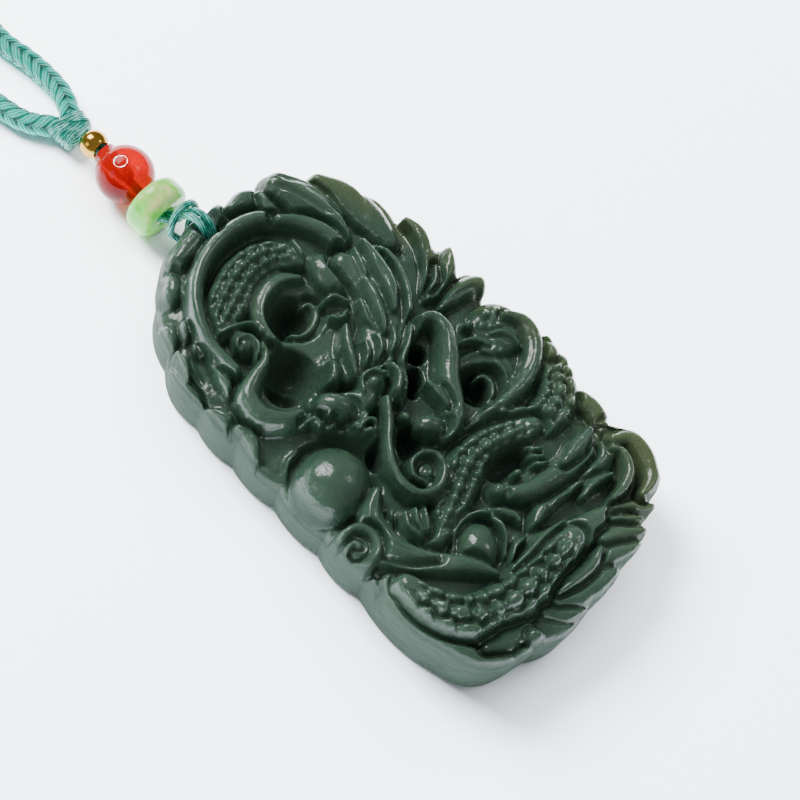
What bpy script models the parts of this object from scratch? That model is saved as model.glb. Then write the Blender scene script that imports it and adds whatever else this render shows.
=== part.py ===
"""A carved jade pendant on its cord: a dragon plaque, three beads, a thin bail cord and a braided neck cord.

The plaque lies on its flat back, face up, with the middle of its back at the origin. +X is to the
right of the carving, +Y to the end with the cord hole, +Z out of its face.
"""
import math

import bmesh
import bpy
import numpy as np
from mathutils import Vector

MM = 0.001

# Plaque
PLAQUE_LENGTH = 0.05885     # along Y, over the carving's furthest lobes
PLAQUE_THICKNESS = 0.0112   # back to the top of the snout
BACK_EDGE = 0.0009          # bevel between the wall and the flat back
GRID = (38, 66)             # faces across and along the front
HOLE_DIAMETER = 0.0023      # for both strands of the bail cord
HOLE_TO_EDGE = 0.0018       # jade between the hole and the top edge
HOLE_X = -0.0024
CHANNEL_DEPTH = 0.0015      # relief in the back that lets the cord pass under the rim

# Bail cord, two strands side by side
BAIL_DIAMETER = 0.0008
STRAND_GAP = 0.00012
BORE_CLEARANCE = 0.00014
TOUCH = 0.0003              # gap kept between pieces that touch

# Beads, from the plaque outwards
DISC_DIAMETER = 0.0069
DISC_THICKNESS = 0.0032
RED_DIAMETER = 0.0065
RED_NECK = 0.0004
GOLD_DIAMETER = 0.0032
GOLD_DROP = 0.0004          # the gold bead hangs this much below the others' axis
GOLD_SLOPE = 0.22
BEAD_GAP = 0.0029           # from the plaque's edge to the first bead
BEAD_X = -0.0032

# Neck cord and what holds it
CORD_DIAMETER = 0.0026
CORD_LENGTH = 0.62          # the whole loop, from the wrap and back to it
WRAP_WIDTH = 0.0052
WRAP_HEIGHT = 0.0032
WRAP_LENGTH = 0.0033
COIL_MIDDLE = (-0.0155, 0.0790)
COIL_ACROSS = 0.0270        # at the middle of its turns
LAYER = 1.02                # spacing of turns and layers, in diameters
TIE_DIAMETER = 0.0006
LAST_TURN = 0.736           # share of a turn by which the coil's two ends differ
UPPER_LEG = [(-1.85, 49.6), (-1.1, 51.4), (-0.8, 53.8), (-1.0, 57.6), (-1.7, 61.6), (-1.3, 66), (0.4, 70.6)]
LOWER_LEG = [(-4.75, 49.6, 0), (-5.9, 50.9, 0), (-6.8, 52.8, 0), (-7.4, 55.4, 0.05), (-8.4, 57.7, 0.5),
             (-10.5, 59.9, 1.7)]    # in millimetres, with its rise over the surface

BORE = 2 * BAIL_DIAMETER + STRAND_GAP + 2 * BORE_CLEARANCE
DRAWN_LENGTH, DRAWN_THICKNESS = 58.85, 11.1   # the carving's own units
LONG_SIDE = 1.7                               # the grid's length for its width
UNIT = PLAQUE_LENGTH / DRAWN_LENGTH
RISE = PLAQUE_THICKNESS / DRAWN_THICKNESS

# The plaque's outline, in the carving's own units: each notch in its edge, how far the lobe after it
# stands out, and where along the lobe it stands furthest.
NOTCHES = (
    (-5.3, 29.3, 0.9, 1.0), (0.9, 29.2, 0.6, 0.9), (4.7, 28.1, 1.9, 0.8), (10.5, 26.2, 1.1, 1.0),
    (13.1, 20.3, 1.6, 0.55), (14.5, 15.9, 1.7, 0.55), (14.5, 10.9, 1.8, 0.5), (14.7, 7.0, 2.0, 0.6),
    (15.2, 3.0, 1.6, 1.3), (16.5, -4.2, 1.2, 0.6), (15.5, -11.1, 0.7, 1.0), (14.7, -16.4, 1.7, 0.9),
    (14.9, -23.3, 0.5, 0.8), (11.9, -24.8, 0.7, 0.6), (9.2, -25.7, 1.0, 0.5), (3.4, -27.8, 0.5, 1.0),
    (-0.8, -28.0, 1.0, 1.1), (-8.4, -27.5, 2.0, 1.2), (-16.1, -21.6, 0.9, 1.0), (-16.3, -10.8, 0.7, 1.0),
    (-16.3, -4.7, 0.6, 1.0), (-16.3, 2.0, 0.6, 1.0), (-16.4, 8.3, 0.6, 1.0), (-16.3, 13.7, 1.0, 1.0),
    (-14.6, 20.4, 0.8, 1.0), (-10.6, 26.2, 0.8, 1.0),
)


def outline(angles):
    """How far the plaque's edge lies from its middle, in each direction."""
    t = np.linspace(0, 1, 24, endpoint=False)
    edge = []
    for (ax, ay, out, lean), (bx, by, _, _) in zip(NOTCHES, NOTCHES[1:] + NOTCHES[:1]):
        long = math.hypot(bx - ax, by - ay)
        swell = 4 * out * t ** lean * (1 - t ** lean)
        edge.append(np.stack([ax + (bx - ax) * t - (by - ay) / long * swell,
                              ay + (by - ay) * t + (bx - ax) / long * swell], axis=1))
    edge = np.vstack(edge)
    way = np.arctan2(edge[:, 1], edge[:, 0])
    order = np.argsort(way)
    far = np.hypot(edge[:, 0], edge[:, 1])
    return np.interp(angles, way[order], far[order], period=2 * math.pi)


def spread(u, v):
    """Points of the unit disc spread over the plaque; its notches reach only a little way in."""
    way, share = np.arctan2(v * LONG_SIDE, u), np.hypot(u, v)
    eased = sum(outline(way + lean) for lean in np.radians((-12, -8, -4, 0, 4, 8, 12))) / 7
    far = share * (eased + (outline(way) - eased) * share ** 6)
    return far * np.cos(way), far * np.sin(way)


def smooth_line(points, steps=7):
    """A smooth line through the points."""
    p = np.array(points, float)
    p = np.vstack([2 * p[0] - p[1], p, 2 * p[-1] - p[-2]])
    t = np.linspace(0, 1, steps, endpoint=False)[:, None]
    parts = [b + 0.5 * t * ((c - a) + t * ((2 * a - 5 * b + 4 * c - d) + t * (3 * (b - c) + d - a)))
             for a, b, c, d in zip(p, p[1:], p[2:], p[3:])]
    return np.vstack(parts + [p[-2:-1]])


def curl(x, y, radius, turns, start, inner=0.3, squash=1.0):
    """Points of a spiral that winds in to its middle; turns is negative for a clockwise one."""
    n = max(5, int(abs(turns) * 10))
    return [(x + r * math.cos(a), y + squash * r * math.sin(a))
            for r, a in ((radius * (1 - (1 - inner) * i / n), math.radians(start + 360 * turns * i / n))
                         for i in range(n + 1))]


class Relief:
    """A height field that forms are laid on, one over another, as they are carved."""
    level, slant = 9.0, (0.461, 0.159)

    def __init__(self, x, y, ground):
        self.x, self.y, self.z = x, y, ground

    def near(self, line, top, reach):
        """The points near a line, with their distance from it, side, place along it and share along it."""
        line = line + np.array(self.slant) * (self.level - top)
        low, high = line.min(axis=0) - reach, line.max(axis=0) + reach
        at = np.nonzero((self.x > low[0]) & (self.x < high[0]) & (self.y > low[1]) & (self.y < high[1]))[0]
        px, py = self.x[at], self.y[at]
        best, side, along = (np.full(len(at), v) for v in (1e9, 1.0, 0.0))
        run = 0.0
        for a, b in zip(line, line[1:]):
            d = b - a
            long = max(math.hypot(*d), 1e-9)
            t = np.clip(((px - a[0]) * d[0] + (py - a[1]) * d[1]) / long ** 2, 0, 1)
            gx, gy = px - a[0] - t * d[0], py - a[1] - t * d[1]
            far = np.hypot(gx, gy)
            closer = far < best
            best = np.where(closer, far, best)
            side = np.where(closer, np.sign(d[0] * gy - d[1] * gx), side)
            along = np.where(closer, run + t * long, along)
            run += long
        return at, best, side, along, along / max(run, 1e-9)

    def lay(self, at, share, outside, top, drop, full, moat):
        """Puts a form over what is there, and cuts a trench round it down to its own lip."""
        form = top - drop * (1 - np.sqrt(np.clip(1 - np.clip(share, 0, 1) ** full, 0, 1)))
        z = self.z[at]
        trench = top - drop + moat * outside * (1 + 1.5 * outside)
        self.z[at] = np.where(outside < 0, form, np.minimum(z, trench))

    def band(self, points, width, top, drop=2.0, full=2.0, moat=1.6, ridges=0, scales=None, crest=None):
        """A rounded band along a smooth line; width and crest may change along it."""
        half = np.atleast_1d(width) / 2.0
        crest = np.atleast_1d(top if crest is None else crest)
        at, far, side, along, share = self.near(smooth_line(points), top, half.max() + 3)
        spread = np.linspace(0, 1, len(half))
        wide = np.maximum(np.interp(share, spread, half), 0.05)
        high = np.interp(share, np.linspace(0, 1, len(crest)), crest)
        q = far / wide
        self.lay(at, q, far - wide, high, drop, full, moat)
        inside = far < wide
        if ridges:
            wave = np.abs(np.sin(math.pi * (side * q + 1) / 2 * ridges)) ** 0.6
            self.z[at] -= np.where(inside, 0.42 * (1 - wave) * np.clip(1.2 - q, 0, 1), 0)
        if scales:
            pitch, rows, bump = scales
            across = (side * q + 1) / 2 * rows
            row = np.floor(across)
            wobble = 0.12 * np.sin(2.3 * along + 1.7 * row)
            step = along / pitch + 0.5 * (row % 2) + wobble
            a, b = 2 * (step - np.floor(step)) - 1, 2 * (across - row) - 1
            ends = np.clip(9 * np.minimum(share, 1 - share), 0, 1)
            dome = np.sqrt(np.clip(1 - 1.02 * a * a - 1.02 * b * b, 0, 1))
            self.z[at] += np.where(inside, bump * ends * (dome - 0.45) * np.clip(1.6 - 1.3 * q, 0, 1), 0)

    def oval(self, x, y, rx, ry, top, drop=2.0, turn=0, full=2.0, moat=1.6):
        """A dome on an oval foot."""
        sx, sy = (v * (self.level - top) for v in self.slant)
        c, s = math.cos(math.radians(turn)), math.sin(math.radians(turn))
        gx, gy = self.x - x - sx, self.y - y - sy
        reach = max(rx, ry) + 3
        at = np.nonzero((np.abs(gx) < reach) & (np.abs(gy) < reach))[0]
        gx, gy = gx[at], gy[at]
        q = np.hypot((gx * c + gy * s) / rx, (gy * c - gx * s) / ry)
        self.lay(at, q, (q - 1) * min(rx, ry), top, drop, full, moat)

    def pit(self, x, y, rx, ry, floor, rim=9.0, turn=0, steep=3.0):
        """A hollow with steep sides, cut down to its floor."""
        sx, sy = (v * (self.level - rim) for v in self.slant)
        c, s = math.cos(math.radians(turn)), math.sin(math.radians(turn))
        gx, gy = self.x - x - sx, self.y - y - sy
        q = np.hypot((gx * c + gy * s) / rx, (gy * c - gx * s) / ry)
        self.z = np.minimum(self.z, floor + (rim - floor) * q ** steep)

    def mark(self, points, width, depth, top=9.0):
        """A groove along a line, or a thin ridge where depth is negative."""
        at, far, _, _, share = self.near(smooth_line(points), top, 2 * width)
        fade = np.clip(5 * np.minimum(share, 1 - share) + 0.25, 0, 1)
        self.z[at] -= depth * fade * np.exp(-(far / (0.5 * width)) ** 2)


def carve(x, y):
    """The height of the front at each point, in units of a plaque 58 units long."""
    edge = outline(np.arctan2(y, x))
    inset = np.clip(1 - np.hypot(x, y) / edge, 0, 1)
    ground = 6.4 + 0.9 * np.clip(4 * inset, 0, 1)
    r = Relief(x, y, ground + 0.2 * np.sin(0.9 * x + 0.5 * y) * np.cos(0.7 * y - 0.4 * x))
    for form in (border, fins, coil_top, mane, hollows, belly, claws, lower_body, tail, head, clouds,
                 cord_seat):
        form(r)
    # The front rolls over into the wall all round, most of all along the left side.
    roll = ROLL + LEFT_ROLL * np.clip(-x / 12, 0, 1)
    t = np.clip(1 + (np.hypot(x, y) - edge) / roll, 0, 1)
    return r.z - roll * (1 - np.sqrt(1 - 0.96 * t * t))


ROLL, LEFT_ROLL = 0.9, 1.1


def border(r):
    """The cloud lobes down the left side and along the top, beside the cord hole."""
    r.band([(-3.8, 27.8), (-5.7, 27.5), (-7.8, 27)], (2.2, 3.2, 2.4), 8.4, 2)
    r.oval(-10.6, 25, 2.1, 1.4, 8.2, 2, -137)
    r.oval(-14.7, 21.3, 1.8, 1.6, 8, 2, -139)
    r.band([(-17, 19.4), (-17.6, 17), (-17.8, 14.6), (-17.8, 12.2)], (2.2, 3.8, 3.8, 2.2), 8.3, 2.4)
    r.band([(-18.6, 10.6), (-18.9, 8.6), (-19, 6.2)], (1.6, 2.8, 2.6), 7.8, 2)
    r.band([(-20.2, 0.1), (-20.3, -2.3), (-19.8, -4.9), (-19, -6.4)], (2, 3, 3, 1.8), 7.4, 2)
    r.band([(-19.4, -7.4), (-19.6, -9.7), (-18.6, -11.5), (-16.9, -11.7)], (2.4, 3.2, 3, 1.8), 8.4, 2.2)
    r.band([(-19.1, -12.9), (-19.9, -16.2), (-19.9, -19.7), (-18.5, -22.7), (-16.1, -24.8)],
           (1.8, 2.4, 2.4, 2, 1.2), 7.7, 1.6)
    r.band([(-16.8, 12.6), (-16.4, 10.9), (-16.8, 9)], (1.2, 2.6, 1.8), 8.7, 1.8)
    r.band([(-15.9, 9.1), (-15.9, 7.4), (-16.8, 5.8)], (1.2, 2.4, 1.6), 8.9, 1.8)
    r.oval(-9.5, 23.3, 1.2, 0.7, 9, 1.3, -132)
    r.oval(-8.3, 24.4, 1.2, 0.7, 9, 1.2, 31)
    r.oval(-12.2, 20.6, 1.3, 0.9, 8.9, 1.4, -135)
    r.band([(-14.8, 19.3), (-15.2, 17.9), (-15.8, 16.7)], (0.7, 1.2, 0.6), 9, 1.3)
    r.oval(-12.5, 18.1, 1.1, 0.9, 9.2, 1.4, -95)
    r.band([(-12.6, 16.5), (-13.4, 13.7), (-14.1, 11.1)], (0.9, 1.5, 0.9), 9.2, 1.5)
    r.mark([(-13.9, 18.4), (-14.6, 16.7), (-14.9, 15.1)], 0.5, 0.5, 8.6)
    r.mark([(-20, -7.6), (-19.7, -10.2), (-19.1, -12.4)], 0.5, 0.45, 8.2)
    r.band([(-1.9, 28.4), (-0.2, 28.4), (1.2, 27.8)], (1.8, 2.6, 1.4), 8.4, 1.8)
    r.band([(0.8, 27.9), (2.7, 27.9), (4, 27)], (1.8, 3, 2.2), 8.6, 1.9)
    r.band([(4.3, 27.2), (4, 25.9), (4.1, 24.4)], (1.2, 1.8, 1.2), 8.9, 1.5)


def fins(r):
    """The smooth back along the top right, the strands on its crest and the flame-like fins."""
    r.band([(10.4, 24.5), (11.5, 21.6), (11.7, 17.8), (11.4, 14.3)], (2.4, 4.2, 4.2, 2.6), 8.7, 2.2, 2.4)
    r.band([(6.8, 26.7), (7.6, 24.5), (8.1, 22.1), (8.3, 19.8), (8.1, 17.6)],
           (3.6, 4.6, 4.4, 3.2, 1.2), 9.4, 2, 2.4)
    r.mark([(7.1, 27.5), (8.6, 25.1), (9.4, 22.5), (9.4, 19.8)], 0.7, 0.45, 9.3)
    r.mark([(6.1, 27), (7.2, 24.6), (7.9, 22.3), (8.3, 20)], 0.7, 0.45, 9.3)
    r.mark([(7.8, 26.3), (9.2, 23.8), (9.7, 21.2)], 0.5, -0.3, 9.3)
    r.mark([(6.3, 26.2), (7, 24), (7.6, 21.6)], 0.5, -0.3, 9.3)
    r.band([(14.6, 15), (14.7, 13.1), (13.8, 10.9), (12.2, 9), (9.9, 7.7)],
           (1.2, 2.2, 2.4, 1.8, 0.8), 8.7, 2)
    r.band([(15.9, 9.3), (14.3, 8), (12.2, 7.2), (9.5, 6.8)], (1.6, 2.6, 2.2, 1), 8.6, 1.9)
    r.band([(16, 4.2), (14.7, 5), (12.4, 5.2), (9.8, 5.1)], (2.2, 2.6, 2, 0.9), 8.7, 2)
    r.band([(13.1, 9), (12, 7.9), (10.6, 7.4)], (0.7, 1.1, 0.6), 8.5, 1.4)
    r.mark([(14.3, 13.7), (13.7, 12), (12.1, 10.3)], 0.5, -0.35, 8.7)
    r.mark([(15, 4.3), (13.6, 4.9), (11.6, 5.1)], 0.4, 0.3, 8.7)


def coil_top(r):
    """The body's coil at the top: a scaled band inside a smooth arch, and the hollow that it winds round."""
    r.band([(-10, 18.7), (-6.5, 20.3), (-2.9, 21.4), (0.3, 20.9), (2, 19)],
           (3.6, 4.8, 5, 4.6, 2.2), 9.2, 1.7, 2.6, scales=(1.35, 4, 1.1))
    r.band([(-11.4, 12.6), (-11.6, 14.8), (-11.5, 17.9), (-10.2, 21.1), (-7.8, 23.8), (-4.7, 25.4),
           (-1.4, 25.9), (1.7, 25.4), (3.7, 23.9)],
           (1.2, 1.7, 1.9, 2, 2, 2.1, 2.2, 2.3, 1.8), 9.9, 2.3, 2.2)
    r.band([(3.8, 23.6), (5.4, 22), (6.7, 19.4), (6.6, 16.6), (5.6, 14.2)],
           (1.8, 2.3, 2.3, 1.8, 0.9), 9.6, 2.1, 2.2)
    r.band([(0.6, 17.3), (-1.1, 18.5), (-3.4, 18.3), (-5.5, 16.9), (-6.5, 14.9), (-6.3, 13.2)],
           (1, 1.8, 2, 2, 1.8, 0.8), 8.9, 1.1)
    r.pit(-3, 14.6, 3.0, 3.2, 3.2, 8.6, -75, 2)
    r.mark([(1, 15.7), (-0.4, 17.7), (-2.6, 18.2), (-4.9, 17.2), (-6.2, 15.2),
           (-6.3, 13.2)], 0.5, -0.35, 8.8)
    r.mark([(-0, 16.6), (-1.7, 17.5), (-4, 16.9), (-5.3, 15.1), (-5.5, 13.4)], 0.45, -0.3, 7.6)
    r.band([(-1.8, 14.8), (-0.9, 14.6), (-0.8, 13.6), (-1.7, 12.7), (-2.9, 12.3), (-4.2, 12.5),
           (-4.9, 13.4)], (0.5, 0.9, 1.1, 1.1, 1, 0.8, 0.4), 7, 1.4)
    r.mark([(-0, 13.1), (-0.8, 12), (-2.2, 11.5)], 0.7, -0.7, 8)
    r.mark([(-4, 14.3), (-3.8, 13.6), (-3.1, 13.4)], 0.5, -0.5, 6)
    r.band([(3.1, 21), (2.8, 19.3), (2.4, 17.6)], (0.4, 0.8, 0.4), 9.4, 1.2)
    r.oval(3.6, 15.9, 2.7, 1.8, 9.7, 1.9, -100)


def mane(r):
    """The locks that sweep back from the head, in a rounded shell."""
    r.band([(5.7, 15.7), (6.2, 11.5), (4.5, 8.1), (1.1, 6.1), (-3.1, 6.3)],
           (3, 5, 5.6, 5, 3), 9, 2.2, 2.6)
    r.band([(8.9, 16), (10.1, 13.1), (8.9, 9.3), (6.1, 6.2), (2.4, 4.5), (-0.9, 4.4)],
           (0.6, 1, 1.2, 1.2, 1, 0.6), 9.7, 1.5)
    r.band([(7.7, 16.2), (7, 14.2), (6.1, 12.4)], (0.5, 0.9, 0.5), 9.6, 1.3)
    r.band([(3.9, 11.4), (3.2, 9.5), (2.9, 7.6)], (0.6, 1.1, 0.5), 9.7, 1.3)
    r.band([(0.5, 13.7), (2, 13.4), (2.8, 12)], (0.5, 0.9, 0.5), 9.2, 1.4)
    r.band([(0.1, 12), (0.8, 11.1), (2.1, 11.4)], (0.5, 0.9, 0.5), 9.4, 1.3)
    r.band([(9, 16.1), (8.6, 13.5), (7.8, 10.7), (6, 8.2)], (1, 2.1, 2.1, 0.8), 10.2, 1.8, 1.8)
    r.band([(6, 12.7), (5.4, 10.7), (4.4, 8.6), (3.4, 7)], (1, 1.9, 1.7, 0.6), 10.2, 1.7, 1.8)
    r.band([(0.6, 10.1), (-0.7, 8.5), (-1.7, 6.8), (-2.5, 5.3)], (0.9, 1.6, 1.3, 0.6), 10.3, 1.7, 1.8)
    r.band([(1, 7.7), (0.3, 6.5), (-0.8, 5.7)], (0.5, 0.9, 0.4), 10.2, 1.3)
    r.band([(2.5, 7.4), (1.9, 6.1), (0.7, 5.3)], (0.5, 1, 0.4), 10.2, 1.3)
    r.band([(4.4, 6.9), (3.4, 5.6), (2, 4.9)], (0.5, 1, 0.4), 10.1, 1.3)
    r.oval(-4.3, 7.2, 2.1, 1.2, 10.1, 1.7, -141)
    r.mark([(8.4, 14.4), (7.6, 11.8), (6.7, 9.5)], 0.35, -0.25, 10.2)
    r.mark([(5.7, 11.4), (4.7, 9.4), (3.8, 7.7)], 0.35, -0.25, 10.2)
    r.mark([(0.6, 9.4), (-0.8, 7.7), (-2, 5.9)], 0.35, -0.25, 10.3)


def hollows(r):
    """The deep hollow held by a smooth C-shaped horn, with the knob that the horn starts from."""
    r.pit(-7.6, 10, 3.4, 3.3, 3.6, 8.2, 32, 2)
    r.pit(-9.4, 9.2, 1.9, 2.2, 3.4, 8.2, 28, 3)
    r.band([(-7.4, 14.4), (-8.5, 12.7), (-10.7, 12), (-12.6, 10.9), (-12.9, 8.7), (-11.5, 6.8),
           (-9.4, 5.9), (-7.4, 5.9)], (0.9, 1.5, 2.2, 2.9, 2.9, 2.6, 2.2, 1.2), 10, 2.6, 2.1)
    r.oval(-8.8, 15.6, 1.6, 1.3, 9.7, 1.8, -90)
    r.band([(-9.1, 13.5), (-8, 14.3), (-7.9, 15.6), (-8.9, 16.2), (-9.8, 15.7), (-9.7, 14.9)],
           (0.4, 0.6, 0.6, 0.5, 0.4), 10.1, 1.1)
    r.band([(-10.3, 18), (-8.5, 17.5), (-6.9, 16.7), (-6.6, 15.2)], (0.4, 0.7, 0.7, 0.4), 9.6, 1.2)


def belly(r):
    """The right side's coil: its belly band, its scales and the hollow that it winds round."""
    r.band([(14.5, -12.1), (15, -14.1), (14.1, -16.5)], (2.8, 3.8, 2.2), 8.4, 2.1)
    r.band([(15.9, -5), (14.5, -8.1), (12.3, -10.4), (9.2, -10.7), (7.3, -8.9)],
           (2.8, 4.2, 4.8, 4.6, 3), 9.1, 2, 2.6, scales=(1.45, 3, 1.1))
    r.oval(15.6, -5.9, 1.4, 1.2, 9.1, 1.5, -86)
    r.oval(13.1, -0.4, 3.3, 3.3, 8.8, 1.8, -45, 3)
    r.oval(13.1, 1.5, 0.6, 0.6, 9.1, 0.7, -39)
    r.oval(13.9, -0.3, 0.6, 0.6, 9.1, 0.7, -45)
    r.oval(11.9, 0.8, 0.6, 0.6, 9.1, 0.7, -39)
    r.oval(14.5, 0.8, 0.6, 0.6, 9.1, 0.7, -39)
    r.oval(10.8, 1.9, 0.6, 0.6, 9.1, 0.7, -39)
    r.band([(11.9, -0.4), (13.4, -1.4), (13.6, -3.5)], (0.5, 1, 0.5), 9.2, 1.1)
    r.band([(8.6, 1), (10.2, 0.2), (11, -1.2)], (0.5, 0.9, 0.5), 9, 1.1)
    r.pit(7.2, -3.6, 2.8, 2.9, 3, 8.8, -48, 2.2)
    r.mark([(6.9, -0.4), (9.2, -0.8), (10.3, -2.3), (10.3, -4.2), (9.1, -5.9)], 0.55, -0.5, 8.4)
    r.band([(6.7, -3.1), (7.8, -3.4), (8, -4.5), (7.2, -5.5), (5.9, -6)],
           (0.5, 0.9, 1.1, 0.9, 0.5), 6.6, 1.3)
    r.mark([(6.5, -3.9), (7.1, -4.4), (6.6, -5.1)], 0.5, -0.5, 6.5)
    r.mark([(11, -1.8), (11.5, -3.5), (11.2, -5.4)], 0.5, -0.4, 8.9)
    r.band([(15.1, 0), (16, -1.7), (15.5, -3.7), (13.6, -5.5), (10.8, -6.6), (7.5, -6.7), (4.4, -6.5),
           (2.5, -6.3)], (1.4, 2.1, 2.3, 2.3, 2.1, 1.7, 1.3, 0.6), 9.7, 1.9, 2.3)
    r.mark([(15.7, -1.3), (14.9, -3.7), (12.9, -5.4), (9.8, -6.1), (6, -6.3)], 0.35, 0.3, 9.6)
    r.band([(1, -6.4), (3.1, -6.7), (4.7, -7.5), (6.7, -8.1)], (0.7, 1.5, 1.5, 0.7), 9.9, 1.6)
    r.band([(6.7, -7.4), (7.5, -8.6), (7, -9.7)], (0.7, 1.3, 0.7), 10, 1.4)


def limb(r):
    """The foreleg that bends over the middle, with its paw."""
    r.pit(4.9, 3.3, 1.3, 1.3, 4, 9.6, -135, 3)
    r.pit(2.3, 1.2, 2.3, 1.1, 4, 9.4, -140, 3)
    r.band([(5.7, 5.2), (7.3, 5.6), (8.7, 4.8), (8.6, 2.9), (7.1, 0.9), (5.2, -0.9), (3.7, -3),
           (2.3, -4.6), (0.6, -5.1)], (1.2, 1.8, 2.3, 2.7, 2.9, 2.9, 2.9, 2.7, 1.8), 10.6, 2.7, 2.1)
    r.band([(6.1, 5.8), (4.4, 4.5), (2.3, 3.4), (1.1, 1.6), (-0.7, 0.3)], (0.6, 1, 1, 1, 0.6), 9.9, 1.8)
    r.oval(-0, 2.2, 2.0, 1.1, 10, 1.7, -127)
    r.band([(2.7, 0.1), (2.9, -1.4), (2.6, -3.1)], (0.8, 1.5, 0.9), 10.4, 1.5)
    r.oval(-0.3, -3.4, 1.8, 1.3, 10.3, 2, -41)
    r.oval(-1.8, -1.2, 0.8, 0.7, 9.6, 1.3, -90)
    r.mark([(8.4, 4.4), (8.1, 2.4), (6.1, 0.2)], 0.5, -0.25, 10.5)


def head(r):
    """The dragon's head: brow, eye and nostril, seen from its left side, with the foreleg beside it."""
    limb(r)
    r.band([(-7.7, 5.8), (-5.9, 3.9), (-3.7, 3), (-1.4, 3.4)], (2.6, 3.8, 3.4, 2.4), 9.8, 2.4, 2.4)
    r.band([(-8.6, 2.1), (-7.3, 0.5), (-5.8, -0.3)], (2, 3, 2), 9.4, 2.2, 2.4)
    r.band([(-8.9, 5.5), (-8.4, 3.2), (-6.9, 1.9), (-4.5, 1.6)], (0.5, 0.9, 0.9, 0.5), 10.3, 1.4)
    r.oval(-6.2, 4.5, 2.4, 1.6, 11, 2.4, -52)
    r.band([(1.3, 4), (1.2, 2.7), (-0.2, 1.5), (-2.1, 1.1)], (0.7, 1.3, 1.3, 0.7), 10.6, 1.8)
    r.band([(-3.1, 3.6), (-2.1, 4.8), (-0.7, 4.7), (0.3, 3.5)], (0.4, 0.7, 0.7, 0.4), 10.7, 1.2)
    r.oval(-1.5, 3.7, 0.8, 0.75, 11, 1.4, -40)
    r.band([(-6.7, 0.2), (-5.9, 1.1), (-4.7, 1), (-4.5, -0), (-5.6, -0.8)],
           (0.4, 0.6, 0.6, 0.6, 0.4), 10.4, 1.1)
    r.oval(-5.7, 0.1, 0.6, 0.55, 10.3, 0.9, -39)
    r.band([(-10.6, 5.1), (-9.2, 4.6), (-9.3, 3.1), (-8, 3)], (0.5, 0.9, 0.9, 0.5), 9.6, 1.5)
    r.band([(-7.9, 1.9), (-8, 0.3), (-7.3, -0.7)], (0.5, 0.9, 0.5), 9, 1.4)
    r.band([(-8.8, -0.4), (-8.4, -1.6), (-8.8, -2.8)], (0.4, 0.7, 0.4), 8.6, 1.3)


def clouds(r):
    """The pearl, the whisker that coils beneath the head, and the cloud scroll with its arm."""
    r.pit(-13.0, -1.6, 5.2, 5.2, 5.6, 7.6, 0, 6)
    r.mark([(-15.7, 2.3), (-14.5, 3.2), (-12.9, 3.1)], 0.5, -0.5, 8)
    r.oval(-11.7, -1.2, 4.2, 4.1, 10.6, 4.4, 0, 2, 1.2)
    r.oval(-4.4, -6.9, 1.8, 1.9, 9.3, 1.8, -41, 4)
    r.band([(-1.8, 1.5), (-3.4, -0.5), (-5.1, -2.1), (-6.5, -4.1), (-7, -6.2), (-6.4, -8.1),
           (-4.6, -8.8), (-2.8, -7.9), (-2.2, -6.3), (-3.2, -5.1), (-4.8, -5.1), (-5.7, -6.3),
           (-5.2, -7.4)], (1.3, 1.4, 1.5, 1.5, 1.6, 1.6, 1.5, 1.4, 1.3, 1.1, 1, 0.9, 0.5), 10.5, 2.2)
    r.mark([(-1.8, 0.9), (-4.6, -2.1), (-6.3, -4.7), (-6.6, -7.3), (-4.8, -8.3)], 0.35, 0.25, 10.5)
    r.oval(-4.3, -7.2, 0.4, 0.45, 9.9, 0.9, -45)
    r.band([(-14, -9.6), (-12.9, -11), (-11.5, -13.1), (-9.8, -15.1), (-7.8, -17.2), (-6.7, -19.3)],
           (2.4, 2.8, 2.8, 2.6, 2.2, 1), 9.4, 2.1, 2.4)
    r.band([(-9.8, -5), (-11.6, -6.2), (-12.6, -8), (-12.5, -10.1), (-11.5, -12.2), (-10, -14)],
           (1.4, 2.6, 3.2, 2.8, 2, 0.8), 9.8, 1.9, 2.2, ridges=4)
    r.oval(-15.3, -8, 2.0, 1.9, 8.9, 1.8, -49, 3)
    r.band([(-16.9, -6.2), (-15.2, -6.1), (-13.8, -6.6), (-13.3, -8.2), (-14.2, -9.6), (-15.8, -9.8),
           (-16.8, -8.8), (-16.6, -7.5), (-15.4, -7.3), (-15, -8.1)],
           (0.9, 1.2, 1.3, 1.3, 1.2, 1.1, 1, 0.9, 0.7, 0.4), 9.8, 1.7)


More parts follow.
